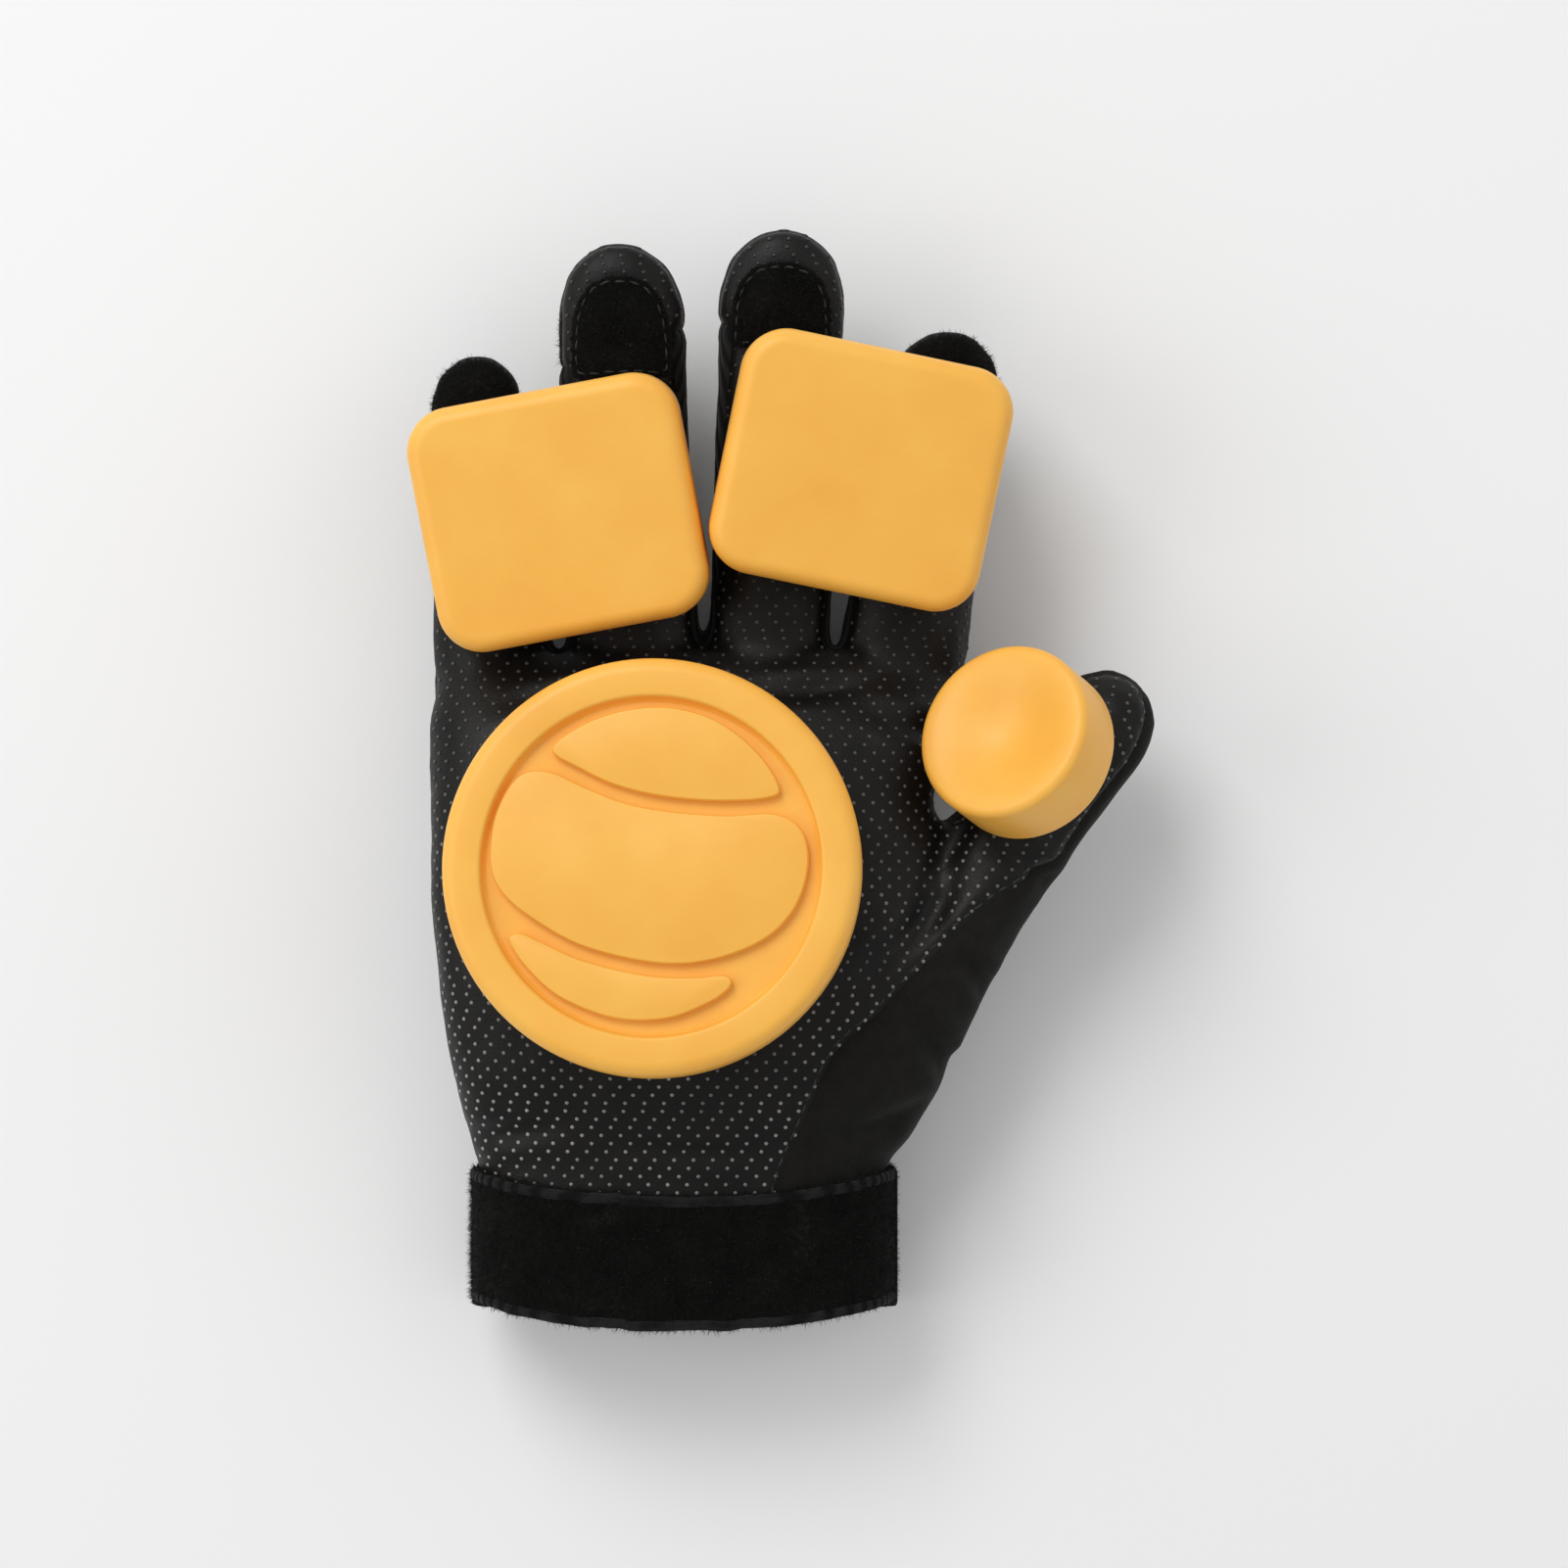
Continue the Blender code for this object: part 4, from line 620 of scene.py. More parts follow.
leather_tree = tree_of(palm_leather)
low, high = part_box("palm_panel")
dot_points, dot_faces = [], []
row, y = 0, low.y + 0.004
while y < high.y:
    x, run, last = low.x, (0.5 if row % 2 else 0.0) * DOT_STEP, None
    while x < high.x:
        spot, normal, face, distance = leather_tree.ray_cast(Vector((x, y, 0.12)), Vector((0, 0, -1)))
        if spot is None or normal.z < 0.05 or spot.z < 0.012:
            last = None
        else:
            if last is not None:
                run += (spot - last).length
            last = spot
            if run > DOT_STEP:
                run -= DOT_STEP
                side = normal.orthogonal().normalized()
                other = normal.cross(side)
                first = len(dot_points)
                for radius, height in ((1.0, -0.3), (0.78, 0.62)):
                    for k in range(DOT_SIDES):
                        turn = 2 * math.pi * k / DOT_SIDES
                        out = side * math.cos(turn) + other * math.sin(turn)
                        dot_points.append(spot + out * DOT_RADIUS * radius + normal * DOT_HEIGHT * height)
                dot_points.append(spot + normal * DOT_HEIGHT)
                top = first + 2 * DOT_SIDES
                for k in range(DOT_SIDES):
                    after = (k + 1) % DOT_SIDES
                    dot_faces.append((first + k, first + after, first + DOT_SIDES + after, first + DOT_SIDES + k))
                    dot_faces.append((first + DOT_SIDES + k, first + DOT_SIDES + after, top))
                dot_faces.append(tuple(first + k for k in reversed(range(DOT_SIDES))))
        x += 0.00035
    y += DOT_ROW
    row += 1
grip_dots = new_mesh_object("grip_dots", dot_points, dot_faces)
grip_dots.data.shade_smooth()

dot_rubber = bpy.data.materials.new("grip_dot_rubber")
tree, nodes, shader = nodes_of(dot_rubber)
# The dots' colour carries a painted highlight: brighter towards the wrist and darker towards the fingertips,
# multiplied by a random tone.
dot_highlight_fade = nodes.new("ShaderNodeMath")
dot_highlight_fade.operation = "MULTIPLY"
place = nodes.new("ShaderNodeTexCoord")
split = nodes.new("ShaderNodeSeparateXYZ")
tree.links.new(place.outputs["Object"], split.inputs["Vector"])
reach = nodes.new("ShaderNodeMapRange")
reach.inputs["From Min"].default_value = 0.09
reach.inputs["From Max"].default_value = -0.06
tree.links.new(split.outputs["Y"], reach.inputs["Value"])
tree.links.new(reach.outputs["Result"], dot_highlight_fade.inputs[0])
tree.links.new(noise_texture(tree, 45.0, 2.0), dot_highlight_fade.inputs[1])
dot_tones = ((0.05, (0.020, 0.020, 0.019)), (0.30, (0.075, 0.075, 0.072)), (0.60, (0.28, 0.28, 0.27)))
tree.links.new(colour_ramp(tree, dot_tones, dot_highlight_fade.outputs["Value"]), shader.inputs["Base Color"])
roughened(tree, shader, noise_texture(tree, 300.0, 2.0), 0.25, 0.5)
grip_dots.data.materials.append(dot_rubber)
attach(grip_dots, "root")

# Palm disc: a thick round of nylon, turned on a lathe with a rounded rim, a chamfered
# foot and a shallow recess. Three plain lands stand in the recess, with thin grooves between.

PALM_RADIUS = 0.0445
PALM_THICK = 0.015
PALM_CHAMFER = 0.0040
RECESS_RADIUS = 0.0353
RECESS_DEEP = 0.0026
LAND_TALL = 0.0024
PALM_AXIS = Vector((-0.040, 0.100, 1.0)).normalized()
LANDS = {
    # across and up from the disc's centre, as shares of the recess's radius, round each land
    "upper": ((-0.60, 0.70), (-0.42, 0.85), (-0.16, 0.94), (0.12, 0.955), (0.40, 0.87), (0.64, 0.68), (0.77, 0.47),
              (0.69, 0.405), (0.40, 0.39), (0.08, 0.415), (-0.20, 0.48), (-0.42, 0.58)),
    "middle": ((-0.965, 0.06), (-0.93, 0.32), (-0.80, 0.54), (-0.62, 0.57), (-0.40, 0.475), (-0.14, 0.375),
               (0.15, 0.325), (0.46, 0.305), (0.74, 0.315), (0.90, 0.22), (0.945, 0.02), (0.87, -0.24),
               (0.68, -0.44), (0.36, -0.565), (0.02, -0.58), (-0.42, -0.475), (-0.76, -0.28), (-0.92, -0.12)),
    "lower": ((-0.845, -0.455), (-0.82, -0.41), (-0.76, -0.405), (-0.64, -0.46), (-0.40, -0.565), (-0.04, -0.65),
              (0.26, -0.665), (0.43, -0.65), (0.485, -0.675), (0.47, -0.735), (0.34, -0.825), (0.09, -0.915),
              (-0.22, -0.91), (-0.54, -0.785), (-0.74, -0.61)),
}


def turned_piece(name, profile, steps):
    """A closed round piece from a profile of radius and height, spun about Z."""
    shape = bmesh.new()
    line = [shape.verts.new((radius, 0.0, height)) for radius, height in profile]
    for before, after in zip(line, line[1:]):
        shape.edges.new((before, after))
    mesh = bpy.data.meshes.new(name)
    shape.to_mesh(mesh)
    shape.free()
    made = bpy.data.objects.new(name, mesh)
    bpy.context.scene.collection.objects.link(made)
    only(made)
    bpy.ops.object.mode_set(mode="EDIT")
    bpy.ops.mesh.select_all(action="SELECT")
    bpy.ops.mesh.spin(steps=steps, angle=2 * math.pi, center=(0, 0, 0), axis=(0, 0, 1))
    bpy.ops.mesh.select_all(action="SELECT")
    bpy.ops.mesh.remove_doubles(threshold=0.000005)
    bpy.ops.mesh.normals_make_consistent(inside=False)
    bpy.ops.object.mode_set(mode="OBJECT")
    return made


def placed(obj, origin, axis, turn=0.0):
    """Moves a piece made round the origin to its seat, inside its mesh."""
    upright = Vector((0, 1, 0))
    side = upright.cross(axis).normalized()
    ahead = axis.cross(side)
    seat = Matrix((side, ahead, axis)).transposed().to_4x4()
    seat.translation = origin
    obj.data.transform(seat @ Matrix.Rotation(turn, 4, "Z"))
    obj.data.update()
    return obj


def arc(centre, radius, start, end, steps):
    """Points of a quarter round, for a turned edge."""
    turns = [math.radians(start + (end - start) * k / steps) for k in range(steps + 1)]
    return [(centre[0] + radius * math.cos(turn), centre[1] + radius * math.sin(turn)) for turn in turns]


def centre_of(node, axis, reach=0.0004):
    """The middle of the solid's foot, from its lowest points along its axis."""
    base = min(v.co.dot(axis) for v in glove_nodes[node].data.vertices)
    foot = [v.co for v in glove_nodes[node].data.vertices if v.co.dot(axis) < base + reach]
    unique = {tuple(round(c, 6) for c in p) for p in foot}
    return Vector(np.mean([list(p) for p in unique], axis=0))


rim_round = 0.0032
profile = [(0.0, 0.0), (PALM_RADIUS - PALM_CHAMFER - 0.0006, 0.0)]
profile += arc((PALM_RADIUS - PALM_CHAMFER - 0.0006, 0.0006), 0.0006, -90, -45, 2)
profile += [(PALM_RADIUS - 0.0004, PALM_CHAMFER - 0.0004), (PALM_RADIUS, PALM_CHAMFER + 0.0006)]
profile += arc((PALM_RADIUS - rim_round, PALM_THICK - rim_round), rim_round, 0, 90, 8)
profile += arc((RECESS_RADIUS + 0.0016, PALM_THICK - 0.0008), 0.0008, 90, 165, 4)
profile += [(RECESS_RADIUS + 0.0004, PALM_THICK - RECESS_DEEP + 0.0005)]
profile += [(RECESS_RADIUS - 0.0002, PALM_THICK - RECESS_DEEP)]
profile += [(0.0, PALM_THICK - RECESS_DEEP)]
palm_disc = turned_piece("palm_disc", profile, 128)

recess_floor = PALM_THICK - RECESS_DEEP
for outline in LANDS.values():
    loop = [Vector((x, y)) * RECESS_RADIUS for x, y in outline]
    count = len(loop)
    smooth = []
    for k in range(count):
        a, b, c, d = loop[k - 1], loop[k], loop[(k + 1) % count], loop[(k + 2) % count]
        for part in range(6):
            t = part / 6
            smooth.append(0.5 * ((2 * b) + (c - a) * t + (2 * a - 5 * b + 4 * c - d) * t ** 2
                                 + (3 * b - a - 3 * c + d) * t ** 3))
    inward = []
    total = len(smooth)
    for k in range(total):
        direction = (smooth[(k + 1) % total] - smooth[k - 1]).normalized()
        inward.append(Vector((-direction.y, direction.x)))
    area = sum(smooth[k - 1].cross(smooth[k]) for k in range(total))
    sign = 1.0 if area > 0 else -1.0
    levels = ((-0.0008, 0.0), (LAND_TALL - 0.0008, 0.0), (LAND_TALL - 0.0004, 0.00010), (LAND_TALL - 0.0001, 0.00032),
              (LAND_TALL, 0.00065))
    shape = bmesh.new()
    rings = []
    for height, inset in levels:
        rings.append([shape.verts.new((*(smooth[k] + inward[k] * inset * sign), recess_floor + height))
                      for k in range(total)])
    for before, after in zip(rings, rings[1:]):
        for k in range(total):
            shape.faces.new((before[k], before[(k + 1) % total], after[(k + 1) % total], after[k]))
    shape.faces.new(rings[-1])
    shape.faces.new(rings[0][::-1])
    bmesh.ops.recalc_face_normals(shape, faces=shape.faces[:])
    mesh = bpy.data.meshes.new("land")
    shape.to_mesh(mesh)
    shape.free()
    land = bpy.data.objects.new("land", mesh)
    bpy.context.scene.collection.objects.link(land)
    only(palm_disc)
    union = palm_disc.modifiers.new("union", "BOOLEAN")
    union.operation = "UNION"
    union.object = land
    bpy.ops.object.modifier_apply(modifier=union.name)
    bpy.data.objects.remove(land, do_unlink=True)

placed(palm_disc, centre_of("palm_puck", PALM_AXIS), PALM_AXIS)
palm_disc.data.shade_smooth()
palm_disc.data.set_sharp_from_angle(angle=math.radians(28))

slide_nylon = bpy.data.materials.new("slide_nylon")
tree, nodes, shader = nodes_of(slide_nylon)
cloud = noise_texture(tree, 46.0, 4.0, 0.55)
nylon_tones = ((0.25, (0.92, 0.445, 0.060)), (0.55, (0.955, 0.490, 0.072)), (0.8, (0.975, 0.535, 0.094)))
tree.links.new(colour_ramp(tree, nylon_tones, cloud), shader.inputs["Base Color"])
scuffs = nodes.new("ShaderNodeTexNoise")
scuffs.inputs["Scale"].default_value = 1.0
scuffs.inputs["Detail"].default_value = 5.0
tree.links.new(object_space(tree, (60.0, 2200.0, 300.0), math.radians(-9)), scuffs.inputs["Vector"])
roughened(tree, shader, scuffs.outputs["Fac"], 0.36, 0.52)
shader.inputs["Specular IOR Level"].default_value = 0.5
shader.inputs["Subsurface Weight"].default_value = 0.10
shader.inputs["Subsurface Radius"].default_value = (0.0030, 0.0013, 0.0003)
shader.inputs["Subsurface Scale"].default_value = 1.0
bumped(tree, shader, ((noise_texture(tree, 34.0, 2.0), 0.10, 0.0015), (scuffs.outputs["Fac"], 0.10, 0.00006)))
palm_disc.data.materials.append(slide_nylon)
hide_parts("palm_puck")
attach(palm_disc, "root")

# Finger blocks: two soft-cornered blocks of the same nylon, each across a pair of fingers.
# They are moulded with round corners and a wide round along the top edge.

BLOCK_WIDTH = 0.0595
BLOCK_LENGTH = 0.0535
BLOCK_THICK = 0.013
BLOCK_CORNER = 0.0098
BLOCK_EDGE = 0.0036
BLOCKS = {
    # axis out of the palm, turn in degrees
    "outer": (Vector((-0.034853, -0.084643, 0.995802)), 10.5),
    "inner": (Vector((0.044793, -0.084610, 0.995407)), -11.5),
}
for block_name, (axis, degrees) in BLOCKS.items():
    bpy.ops.object.select_all(action="DESELECT")
    bpy.ops.mesh.primitive_cube_add(size=1.0)
    block = bpy.context.view_layer.objects.active
    block.name = "finger_block_" + block_name
    block.data.transform(Matrix.Diagonal((BLOCK_WIDTH, BLOCK_LENGTH, BLOCK_THICK, 1.0))
                         @ Matrix.Translation((0.0, 0.0, 0.5)))
    only(block)
    bpy.ops.object.mode_set(mode="EDIT")
    bpy.ops.mesh.select_mode(type="EDGE")
    for low_end, high_end, width, segments in ((0.0, BLOCK_THICK, BLOCK_CORNER, 14),
                                               (BLOCK_THICK, BLOCK_THICK, BLOCK_EDGE, 8), (0.0, 0.0, 0.0009, 3)):
        bpy.ops.mesh.select_all(action="DESELECT")
        shape = bmesh.from_edit_mesh(block.data)
        for edge in shape.edges:
            low, high = sorted(v.co.z for v in edge.verts)
            edge.select_set(abs(low - low_end) < 1e-6 and abs(high - high_end) < 1e-6)
        bmesh.update_edit_mesh(block.data)
        bpy.ops.mesh.bevel(offset=width, segments=segments, profile=0.5)
    bpy.ops.mesh.select_mode(type="VERT")
    bpy.ops.object.mode_set(mode="OBJECT")
    node = "finger_puck_" + block_name
    placed(block, centre_of(node, axis, 0.0002), axis, math.radians(degrees))
    block.data.shade_smooth()
    block.data.set_sharp_from_angle(angle=math.radians(35))
    block.data.materials.append(slide_nylon)
    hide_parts(node)
    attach(block, "root")

# Thumb button: a small round of the same nylon on the thumb's front, with a dished face
# that the thumb's own pressure wears hollow, and a soft rounded rim.

BUTTON_RADIUS = 0.0196
BUTTON_THICK = 0.016
BUTTON_DISH = 0.0052
BUTTON_AXIS = Vector((-0.467538, 0.332262, 0.819152)).normalized()
rim_round = 0.0020
profile = [(0.0, 0.0), (BUTTON_RADIUS - 0.0010, 0.0)]
profile += arc((BUTTON_RADIUS - 0.0010, 0.0010), 0.0010, -90, 0, 3)
profile += arc((BUTTON_RADIUS - rim_round, BUTTON_THICK - rim_round), rim_round, 0, 82, 7)
inner = BUTTON_RADIUS - 1.2 * rim_round
for k in range(1, 17):
    share = 1 - k / 16
    profile.append((inner * share, BUTTON_THICK - BUTTON_DISH * (0.5 + 0.5 * math.cos(math.pi * share)) ** 0.85))
thumb_button = turned_piece("thumb_button", profile, 96)
placed(thumb_button, centre_of("thumb_puck", BUTTON_AXIS), BUTTON_AXIS)
thumb_button.data.shade_smooth()
thumb_button.data.set_sharp_from_angle(angle=math.radians(40))
thumb_button.data.materials.append(slide_nylon)
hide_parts("thumb_puck")
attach(thumb_button, "root")

# Loop cloth: the fuzzy half of the hook-and-loop that holds the disc, the blocks and the
# button. It is also the cuff's band, with a nap of short loose fibres that catch the light.

FIBRE_LENGTH = 0.0013
FIBRE_RADIUS = 0.00008
FIBRE_ROOT = 0.0001


def softened(node, name, grid, factor, iterations):
    """A finer, rounder copy of a solid that stands for it."""
    piece = copied(node, name)
    with_modifier(piece, "REMESH", mode="VOXEL", voxel_size=grid, adaptivity=0.0)
    with_modifier(piece, "SMOOTH", factor=factor, iterations=iterations)
    piece.data.shade_smooth()
    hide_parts(node)
    return piece


def napped(name, source, count, seed, keep=lambda spot, normal: True):
    """Short fibres that stand off a piece, as one joined mesh."""
    random = np.random.default_rng(seed)
    mesh = source.data
    areas = np.array([p.area for p in mesh.polygons])
    picks = random.choice(len(areas), size=count, p=areas / areas.sum())
    fibre_points, fibre_faces = [], []
    for pick in picks:
        polygon = mesh.polygons[pick]
        weights = random.random(len(polygon.vertices))
        weights = weights / weights.sum()
        spot = sum((mesh.vertices[k].co * w for k, w in zip(polygon.vertices, weights)), Vector())
        normal = polygon.normal
        lean = Vector(random.normal(size=3))
        length = FIBRE_LENGTH * (0.5 + random.random())
        turn = random.random() * 2 * math.pi
        if not keep(spot, normal):
            continue
        ahead = (normal + 0.9 * lean).normalized()
        if ahead.dot(normal) < 0.15:
            ahead = (ahead + normal).normalized()
        side = ahead.orthogonal().normalized()
        other = ahead.cross(side)
        first = len(fibre_points)
        for k in range(3):
            angle = turn + 2 * math.pi * k / 3
            out = side * math.cos(angle) + other * math.sin(angle)
            fibre_points.append(spot - normal * FIBRE_ROOT + out * FIBRE_RADIUS)
        fibre_points.append(spot + ahead * length)
        fibre_faces += [tuple(first + k for k in face) for face in ((0, 1, 3), (1, 2, 3), (2, 0, 3), (2, 1, 0))]
    fibres = new_mesh_object(name, fibre_points, fibre_faces)
    fibres.data.materials.append(fibre_cloth)
    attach(fibres, "root")
    return fibres


fibre_cloth = bpy.data.materials.new("loop_fibre")
tree, nodes, shader = nodes_of(fibre_cloth)
# The fibres are painted paler than the cloth, with pale specks: a painted glint over their random tone.
fibre_tone_and_glint = ((0.35, (0.0035, 0.0035, 0.0032)), (0.60, (0.010, 0.010, 0.009)), (0.78, (0.055, 0.055, 0.052)))
tree.links.new(colour_ramp(tree, fibre_tone_and_glint, noise_texture(tree, 1600.0, 2.0)), shader.inputs["Base Color"])
shader.inputs["Roughness"].default_value = 0.8
shader.inputs["Specular IOR Level"].default_value = 0.15

for node, grid in (("palm_loop_pad", 0.0010), ("finger_loop_pad_outer", 0.0009), ("finger_loop_pad_inner", 0.0009),
                   ("thumb_loop_pad", 0.0008)):
    pad = softened(node, node.replace("_pad", ""), grid, 0.5, 2)
    pad.data.materials.append(loop_cloth)
    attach(pad, "root")

cuff_loop = softened("cuff_band", "cuff_loop", 0.0008, 0.5, 8)
cuff_points = corners(cuff_loop.data)
cuff_lift = np.array([0.00022 * noise.noise(Vector(p) * 420.0) + 0.00035 * noise.noise(Vector(p) * 75.0)
                      for p in cuff_points])
set_corners(cuff_loop.data, cuff_points + normals_of(cuff_loop.data) * cuff_lift[:, None])
cuff_loop.data.materials.append(loop_cloth)
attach(cuff_loop, "root")
cuff_tree = tree_of(cuff_loop)
cuff_low, cuff_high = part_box("cuff_band")
cuff_middle = (cuff_low + cuff_high) / 2
HEM_HALF = 0.0011
HEM_RISE = 0.00045
HEM_SINK = 0.00005
HEM_STEPS = 144
HEM_SIDES = 8
for edge_name, turn_back in (("top", -1.0), ("bottom", 1.0)):
    hem_path = []
    for k in range(HEM_STEPS + 1):
        turn = 2 * math.pi * k / HEM_STEPS
        out = Vector((math.cos(turn), 0.0, math.sin(turn)))
        start = cuff_middle.copy()
        start.y = cuff_high.y + 0.001 if edge_name == "top" else cuff_low.y - 0.001
        for step in range(80):
            spot = cuff_tree.ray_cast(start + out * 0.15, -out, 0.15)[0]
            if spot is not None:
                break
            start.y += turn_back * 0.0002
        start.y += turn_back * HEM_HALF
        spot, normal, face, distance = cuff_tree.ray_cast(start + out * 0.15, -out, 0.15)
        if spot is not None:
            hem_path.append((spot, normal))
    hem_points, hem_faces, count = [], [], len(hem_path) - 1
    for k in range(count):
        spot, normal = hem_path[k]
        ahead = (hem_path[(k + 1) % count][0] - hem_path[k - 1][0]).normalized()
        across = normal.cross(ahead).normalized()
        for n in range(HEM_SIDES):
            turn = 2 * math.pi * n / HEM_SIDES
            rise = math.sin(turn) * HEM_RISE - HEM_SINK
            hem_points.append(spot + across * math.cos(turn) * HEM_HALF + normal * rise)
    for k in range(count):
        here, after = k * HEM_SIDES, (k + 1) % count * HEM_SIDES
        for n in range(HEM_SIDES):
            other = (n + 1) % HEM_SIDES
            hem_faces.append((here + n, here + other, after + other, after + n))
    hem = new_mesh_object("cuff_hem_" + edge_name, hem_points, hem_faces)
    hem.data.shade_smooth()
    hem.data.materials.append(knit_cloth)
    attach(hem, "root")
napped("cuff_nap", cuff_loop, 42000, 5,
       lambda spot, normal: (spot - cuff_middle).dot(normal) > 0.0)
for number, finger in enumerate(LOOP_LABELS):
    napped("tip_nap_" + finger, bpy.data.objects["tip_cloth_" + finger], 2400, 11 + number,
           lambda spot, normal: normal.z > -0.2)

# Fingertip patches: arches of the same loop cloth sewn over the ring and middle fingertips,
# with a stitched edge and a soft nap.


def rim_of(surface, centre, outward, inset, turns=96):
    """Points inside the edge of a piece, found by walking out from its centre."""
    side = outward.orthogonal().normalized()
    other = outward.cross(side)
    result = []
    for k in range(turns + 1):
        ahead = side * math.cos(2 * math.pi * k / turns) + other * math.sin(2 * math.pi * k / turns)
        reach = 0.0
        while surface.ray_cast(centre + ahead * (reach + 0.0002) + outward * 0.02, -outward, 0.04)[0] is not None:
            reach += 0.0002
        spot = surface.ray_cast(centre + ahead * max(reach - inset, 0.0) + outward * 0.02, -outward, 0.04)[0]
        result.append(spot)
    return result


for number, finger in enumerate(("ring", "middle")):
    node = "fingertip_patch_" + finger
    patch = softened(node, "tip_arch_" + finger, 0.0005, 0.5, 3)
    patch.data.materials.append(loop_cloth)
    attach(patch, "root")
    napped("tip_arch_nap_" + finger, patch, 3800, 21 + number, lambda spot, normal: normal.z > 0.1)
    low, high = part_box(node)
    arch_tree = tree_of(patch)
    arch_rim = rim_of(arch_tree, (low + high) / 2, Vector((0.0, 0.2, 1.0)).normalized(), 0.0012)
    stitched("tip_arch_stitches_" + finger, arch_rim, arch_tree, dark_thread)

# Wrist strap: ribbed elastic webbing over the back of the wrist, with a bare moulded
# rubber label sewn on it and a zigzag of stitches across it at each side of the label.

webbing = bpy.data.materials.new("elastic_webbing")
tree, nodes, shader = nodes_of(webbing)
ribs = nodes.new("ShaderNodeTexWave")
ribs.bands_direction = "Y"
ribs.inputs["Scale"].default_value = 1.0
ribs.inputs["Distortion"].default_value = 0.2
tree.links.new(object_space(tree, 260.0), ribs.inputs["Vector"])
tree.links.new(colour_ramp(tree, ((0.2, (0.004, 0.004, 0.004)), (0.8, (0.018, 0.018, 0.017))), ribs.outputs["Fac"]),
               shader.inputs["Base Color"])
shader.inputs["Roughness"].default_value = 0.85
shader.inputs["Specular IOR Level"].default_value = 0.2
shader.inputs["Sheen Weight"].default_value = 0.04
bumped(tree, shader, ((ribs.outputs["Fac"], 0.9, 0.0004), (noise_texture(tree, 1500.0, 3.0), 0.3, 0.0001)))
strap = softened("wrist_strap", "elastic_strap", 0.0008, 0.5, 3)
strap.data.materials.append(webbing)
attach(strap, "root")

moulded_rubber = bpy.data.materials.new("moulded_rubber")
tree, nodes, shader = nodes_of(moulded_rubber)
rubber_tones = ((0.3, (0.006, 0.006, 0.0065)), (0.7, (0.013, 0.013, 0.014)))
tree.links.new(colour_ramp(tree, rubber_tones, noise_texture(tree, 120.0, 4.0)), shader.inputs["Base Color"])
roughened(tree, shader, noise_texture(tree, 500.0, 3.0), 0.28, 0.46)
bumped(tree, shader, ((noise_texture(tree, 1800.0, 2.0), 0.15, 0.0001),))
label = softened("strap_label", "rubber_label", 0.00055, 0.5, 3)
label.data.materials.append(moulded_rubber)
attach(label, "root")
label_tree = tree_of(label)
LABEL_STITCH_RISE = -0.00008     # flush, so that nothing reaches under the floor
low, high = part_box("strap_label")
label_rim = rim_of(label_tree, (low + high) / 2, Vector((0.0, 0.0, -1.0)), 0.0016)
stitched("label_stitches", label_rim, label_tree, dark_thread, LABEL_STITCH_RISE)
strap_tree = tree_of(strap)
ZIGZAG_HALF = 0.003
ZIGZAG_TURNS = 12
strap_low, strap_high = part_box("wrist_strap")
for number, x in enumerate((low.x - 0.008, high.x + 0.006)):
    zigzag = []
    for k in range(ZIGZAG_TURNS + 1):
        y = strap_low.y + ZIGZAG_HALF + (strap_high.y - strap_low.y - 2 * ZIGZAG_HALF) * k / ZIGZAG_TURNS
        side = ZIGZAG_HALF if k % 2 else -ZIGZAG_HALF
        spot = strap_tree.ray_cast(Vector((x + side, y, -0.02)), Vector((0, 0, 1)))[0]
        if spot is not None:
            zigzag.append(spot)
    if len(zigzag) > 4:
        stitched(f"strap_zigzag_{number + 1}", zigzag, strap_tree, dark_thread)

# Knuckle guard: a moulded rubber shield with a scalloped edge, a four-lobed dome over the
# knuckles and flush inlays. Each finger has a finned patch with three dots and a ridged pad.

for node, name, grid, steps in (("guard_base", "guard_shield", 0.0009, 3), ("guard_dome", "guard_lobes", 0.0008, 4)):
    piece = softened(node, name, grid, 0.5, steps)
    piece.data.materials.append(moulded_rubber)
    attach(piece, "root")
for finger in ("pinky", "ring", "middle", "index"):
    for node, name in (("finger_patch_" + finger, "fin_" + finger), ("knuckle_pad_" + finger, "ridge_" + finger)):
        piece = softened(node, name, 0.0005, 0.5, 4)
        piece.data.materials.append(moulded_rubber)
        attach(piece, "root")

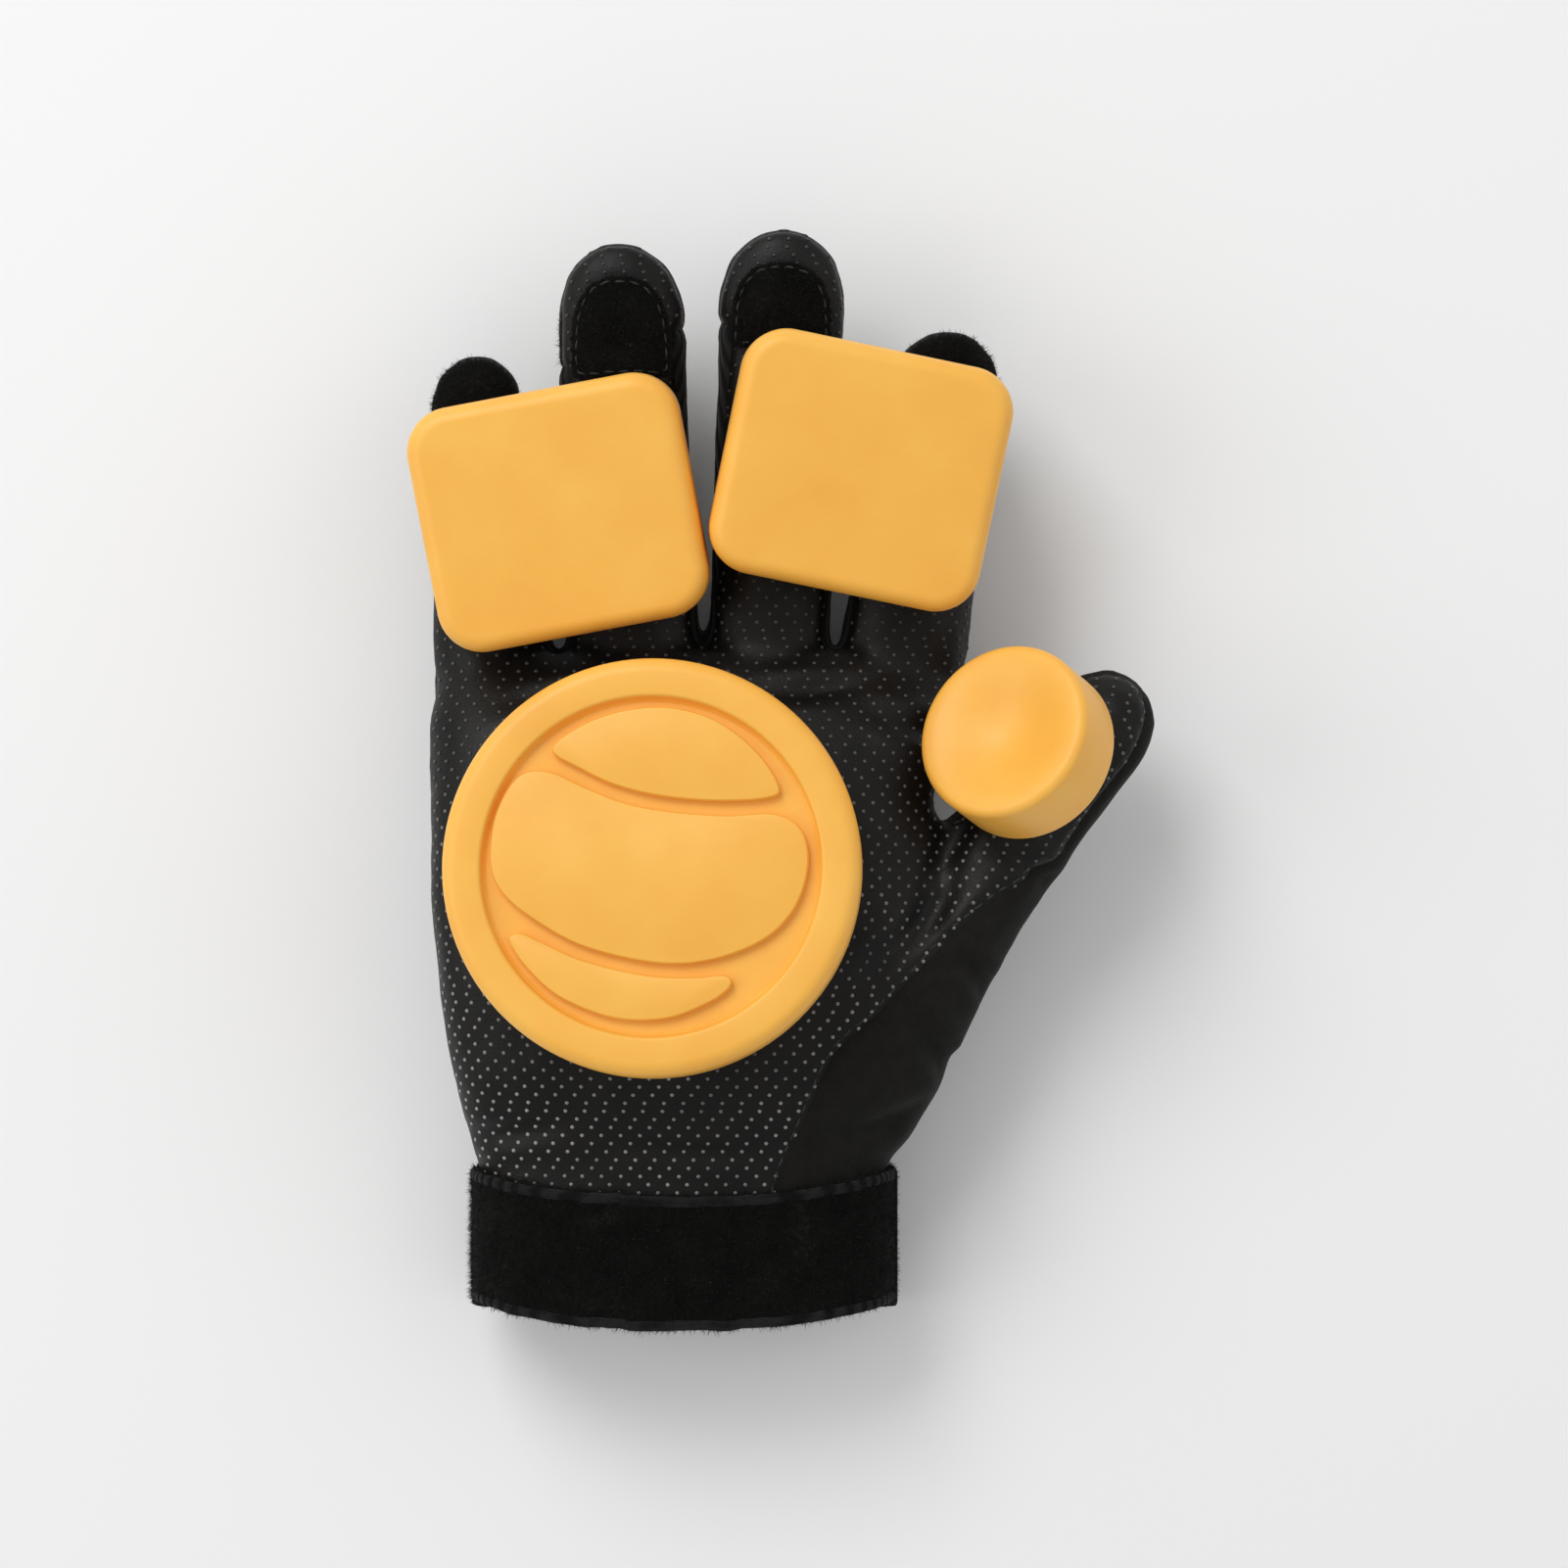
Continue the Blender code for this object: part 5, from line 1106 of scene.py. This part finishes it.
TRIM_COLOURS = {
    "patch_dot": ("dot_yellow", (0.93, 0.88, 0.16), (0.99, 0.95, 0.26)),
    "knuckle_gem": ("gem_grey", (0.16, 0.17, 0.17), (0.26, 0.27, 0.27)),
    "guard_inlay": ("inlay_white", (0.80, 0.80, 0.79), (0.90, 0.90, 0.89)),
    "guard_stripe": ("stripe_white", (0.80, 0.80, 0.79), (0.90, 0.90, 0.89)),
    "guard_bar_white": ("bar_white", (0.80, 0.80, 0.79), (0.90, 0.90, 0.89)),
    "guard_bar_red": ("bar_red", (0.62, 0.03, 0.02), (0.80, 0.06, 0.04)),
}
for start, (name, dark, light) in TRIM_COLOURS.items():
    finish = bpy.data.materials.new(name)
    tree, nodes, shader = nodes_of(finish)
    tree.links.new(colour_ramp(tree, ((0.3, dark), (0.7, light)), noise_texture(tree, 300.0, 3.0)),
                   shader.inputs["Base Color"])
    roughened(tree, shader, noise_texture(tree, 700.0, 2.0), 0.24, 0.42)
    for node, trim in glove_nodes.items():
        if node.startswith(start):
            trim.data.materials.clear()
            trim.data.materials.append(finish)

# The floor and the light: a plain pale ground, soft light from all round, and a large soft
# lamp above the little finger's side, seen from straight above the palm.

bpy.ops.object.select_all(action="DESELECT")
bpy.ops.mesh.primitive_plane_add(size=6.0, location=(0, 0, 0))
ground = bpy.context.view_layer.objects.active
ground.name = "pale_floor"
ground_paint = bpy.data.materials.new("pale_floor")
tree, nodes, shader = nodes_of(ground_paint)
shader.inputs["Base Color"].default_value = (0.92, 0.92, 0.92, 1.0)
shader.inputs["Roughness"].default_value = 0.6
ground.data.materials.append(ground_paint)

world = bpy.data.worlds.new("studio")
world.use_nodes = True
world.node_tree.nodes["Background"].inputs["Color"].default_value = (1.0, 1.0, 1.0, 1.0)
world.node_tree.nodes["Background"].inputs["Strength"].default_value = 0.52
bpy.context.scene.world = world

LAMPS = {
    # place, size, watts, aimed at
    "soft_top": ((-0.90, 1.50, 1.80), 1.3, 27.0, (0.0, 0.0, 0.02)),
    "soft_left": ((-1.80, 0.00, 1.40), 1.2, 9.0, (0.0, 0.0, 0.02)),
    "soft_right": ((1.60, 0.30, 1.60), 1.6, 4.0, (0.0, 0.0, 0.02)),
}
for name, (place, size, watts, target) in LAMPS.items():
    lamp_data = bpy.data.lights.new(name, "AREA")
    lamp_data.shape = "SQUARE"
    lamp_data.size = size
    lamp_data.energy = watts
    lamp = bpy.data.objects.new(name, lamp_data)
    bpy.context.scene.collection.objects.link(lamp)
    lamp.location = place
    lamp.rotation_euler = (Vector(target) - Vector(place)).to_track_quat("-Z", "Y").to_euler()

camera_data = bpy.data.cameras.new("camera")
camera_data.lens = 100.0
camera_data.sensor_width = 36.0
camera = bpy.data.objects.new("camera", camera_data)
bpy.context.scene.collection.objects.link(camera)
camera.location = (0.0, 0.0, 0.985)
camera.rotation_euler = (0.0, 0.0, 0.0)
bpy.context.scene.camera = camera
bpy.context.scene.view_settings.view_transform = "Standard"
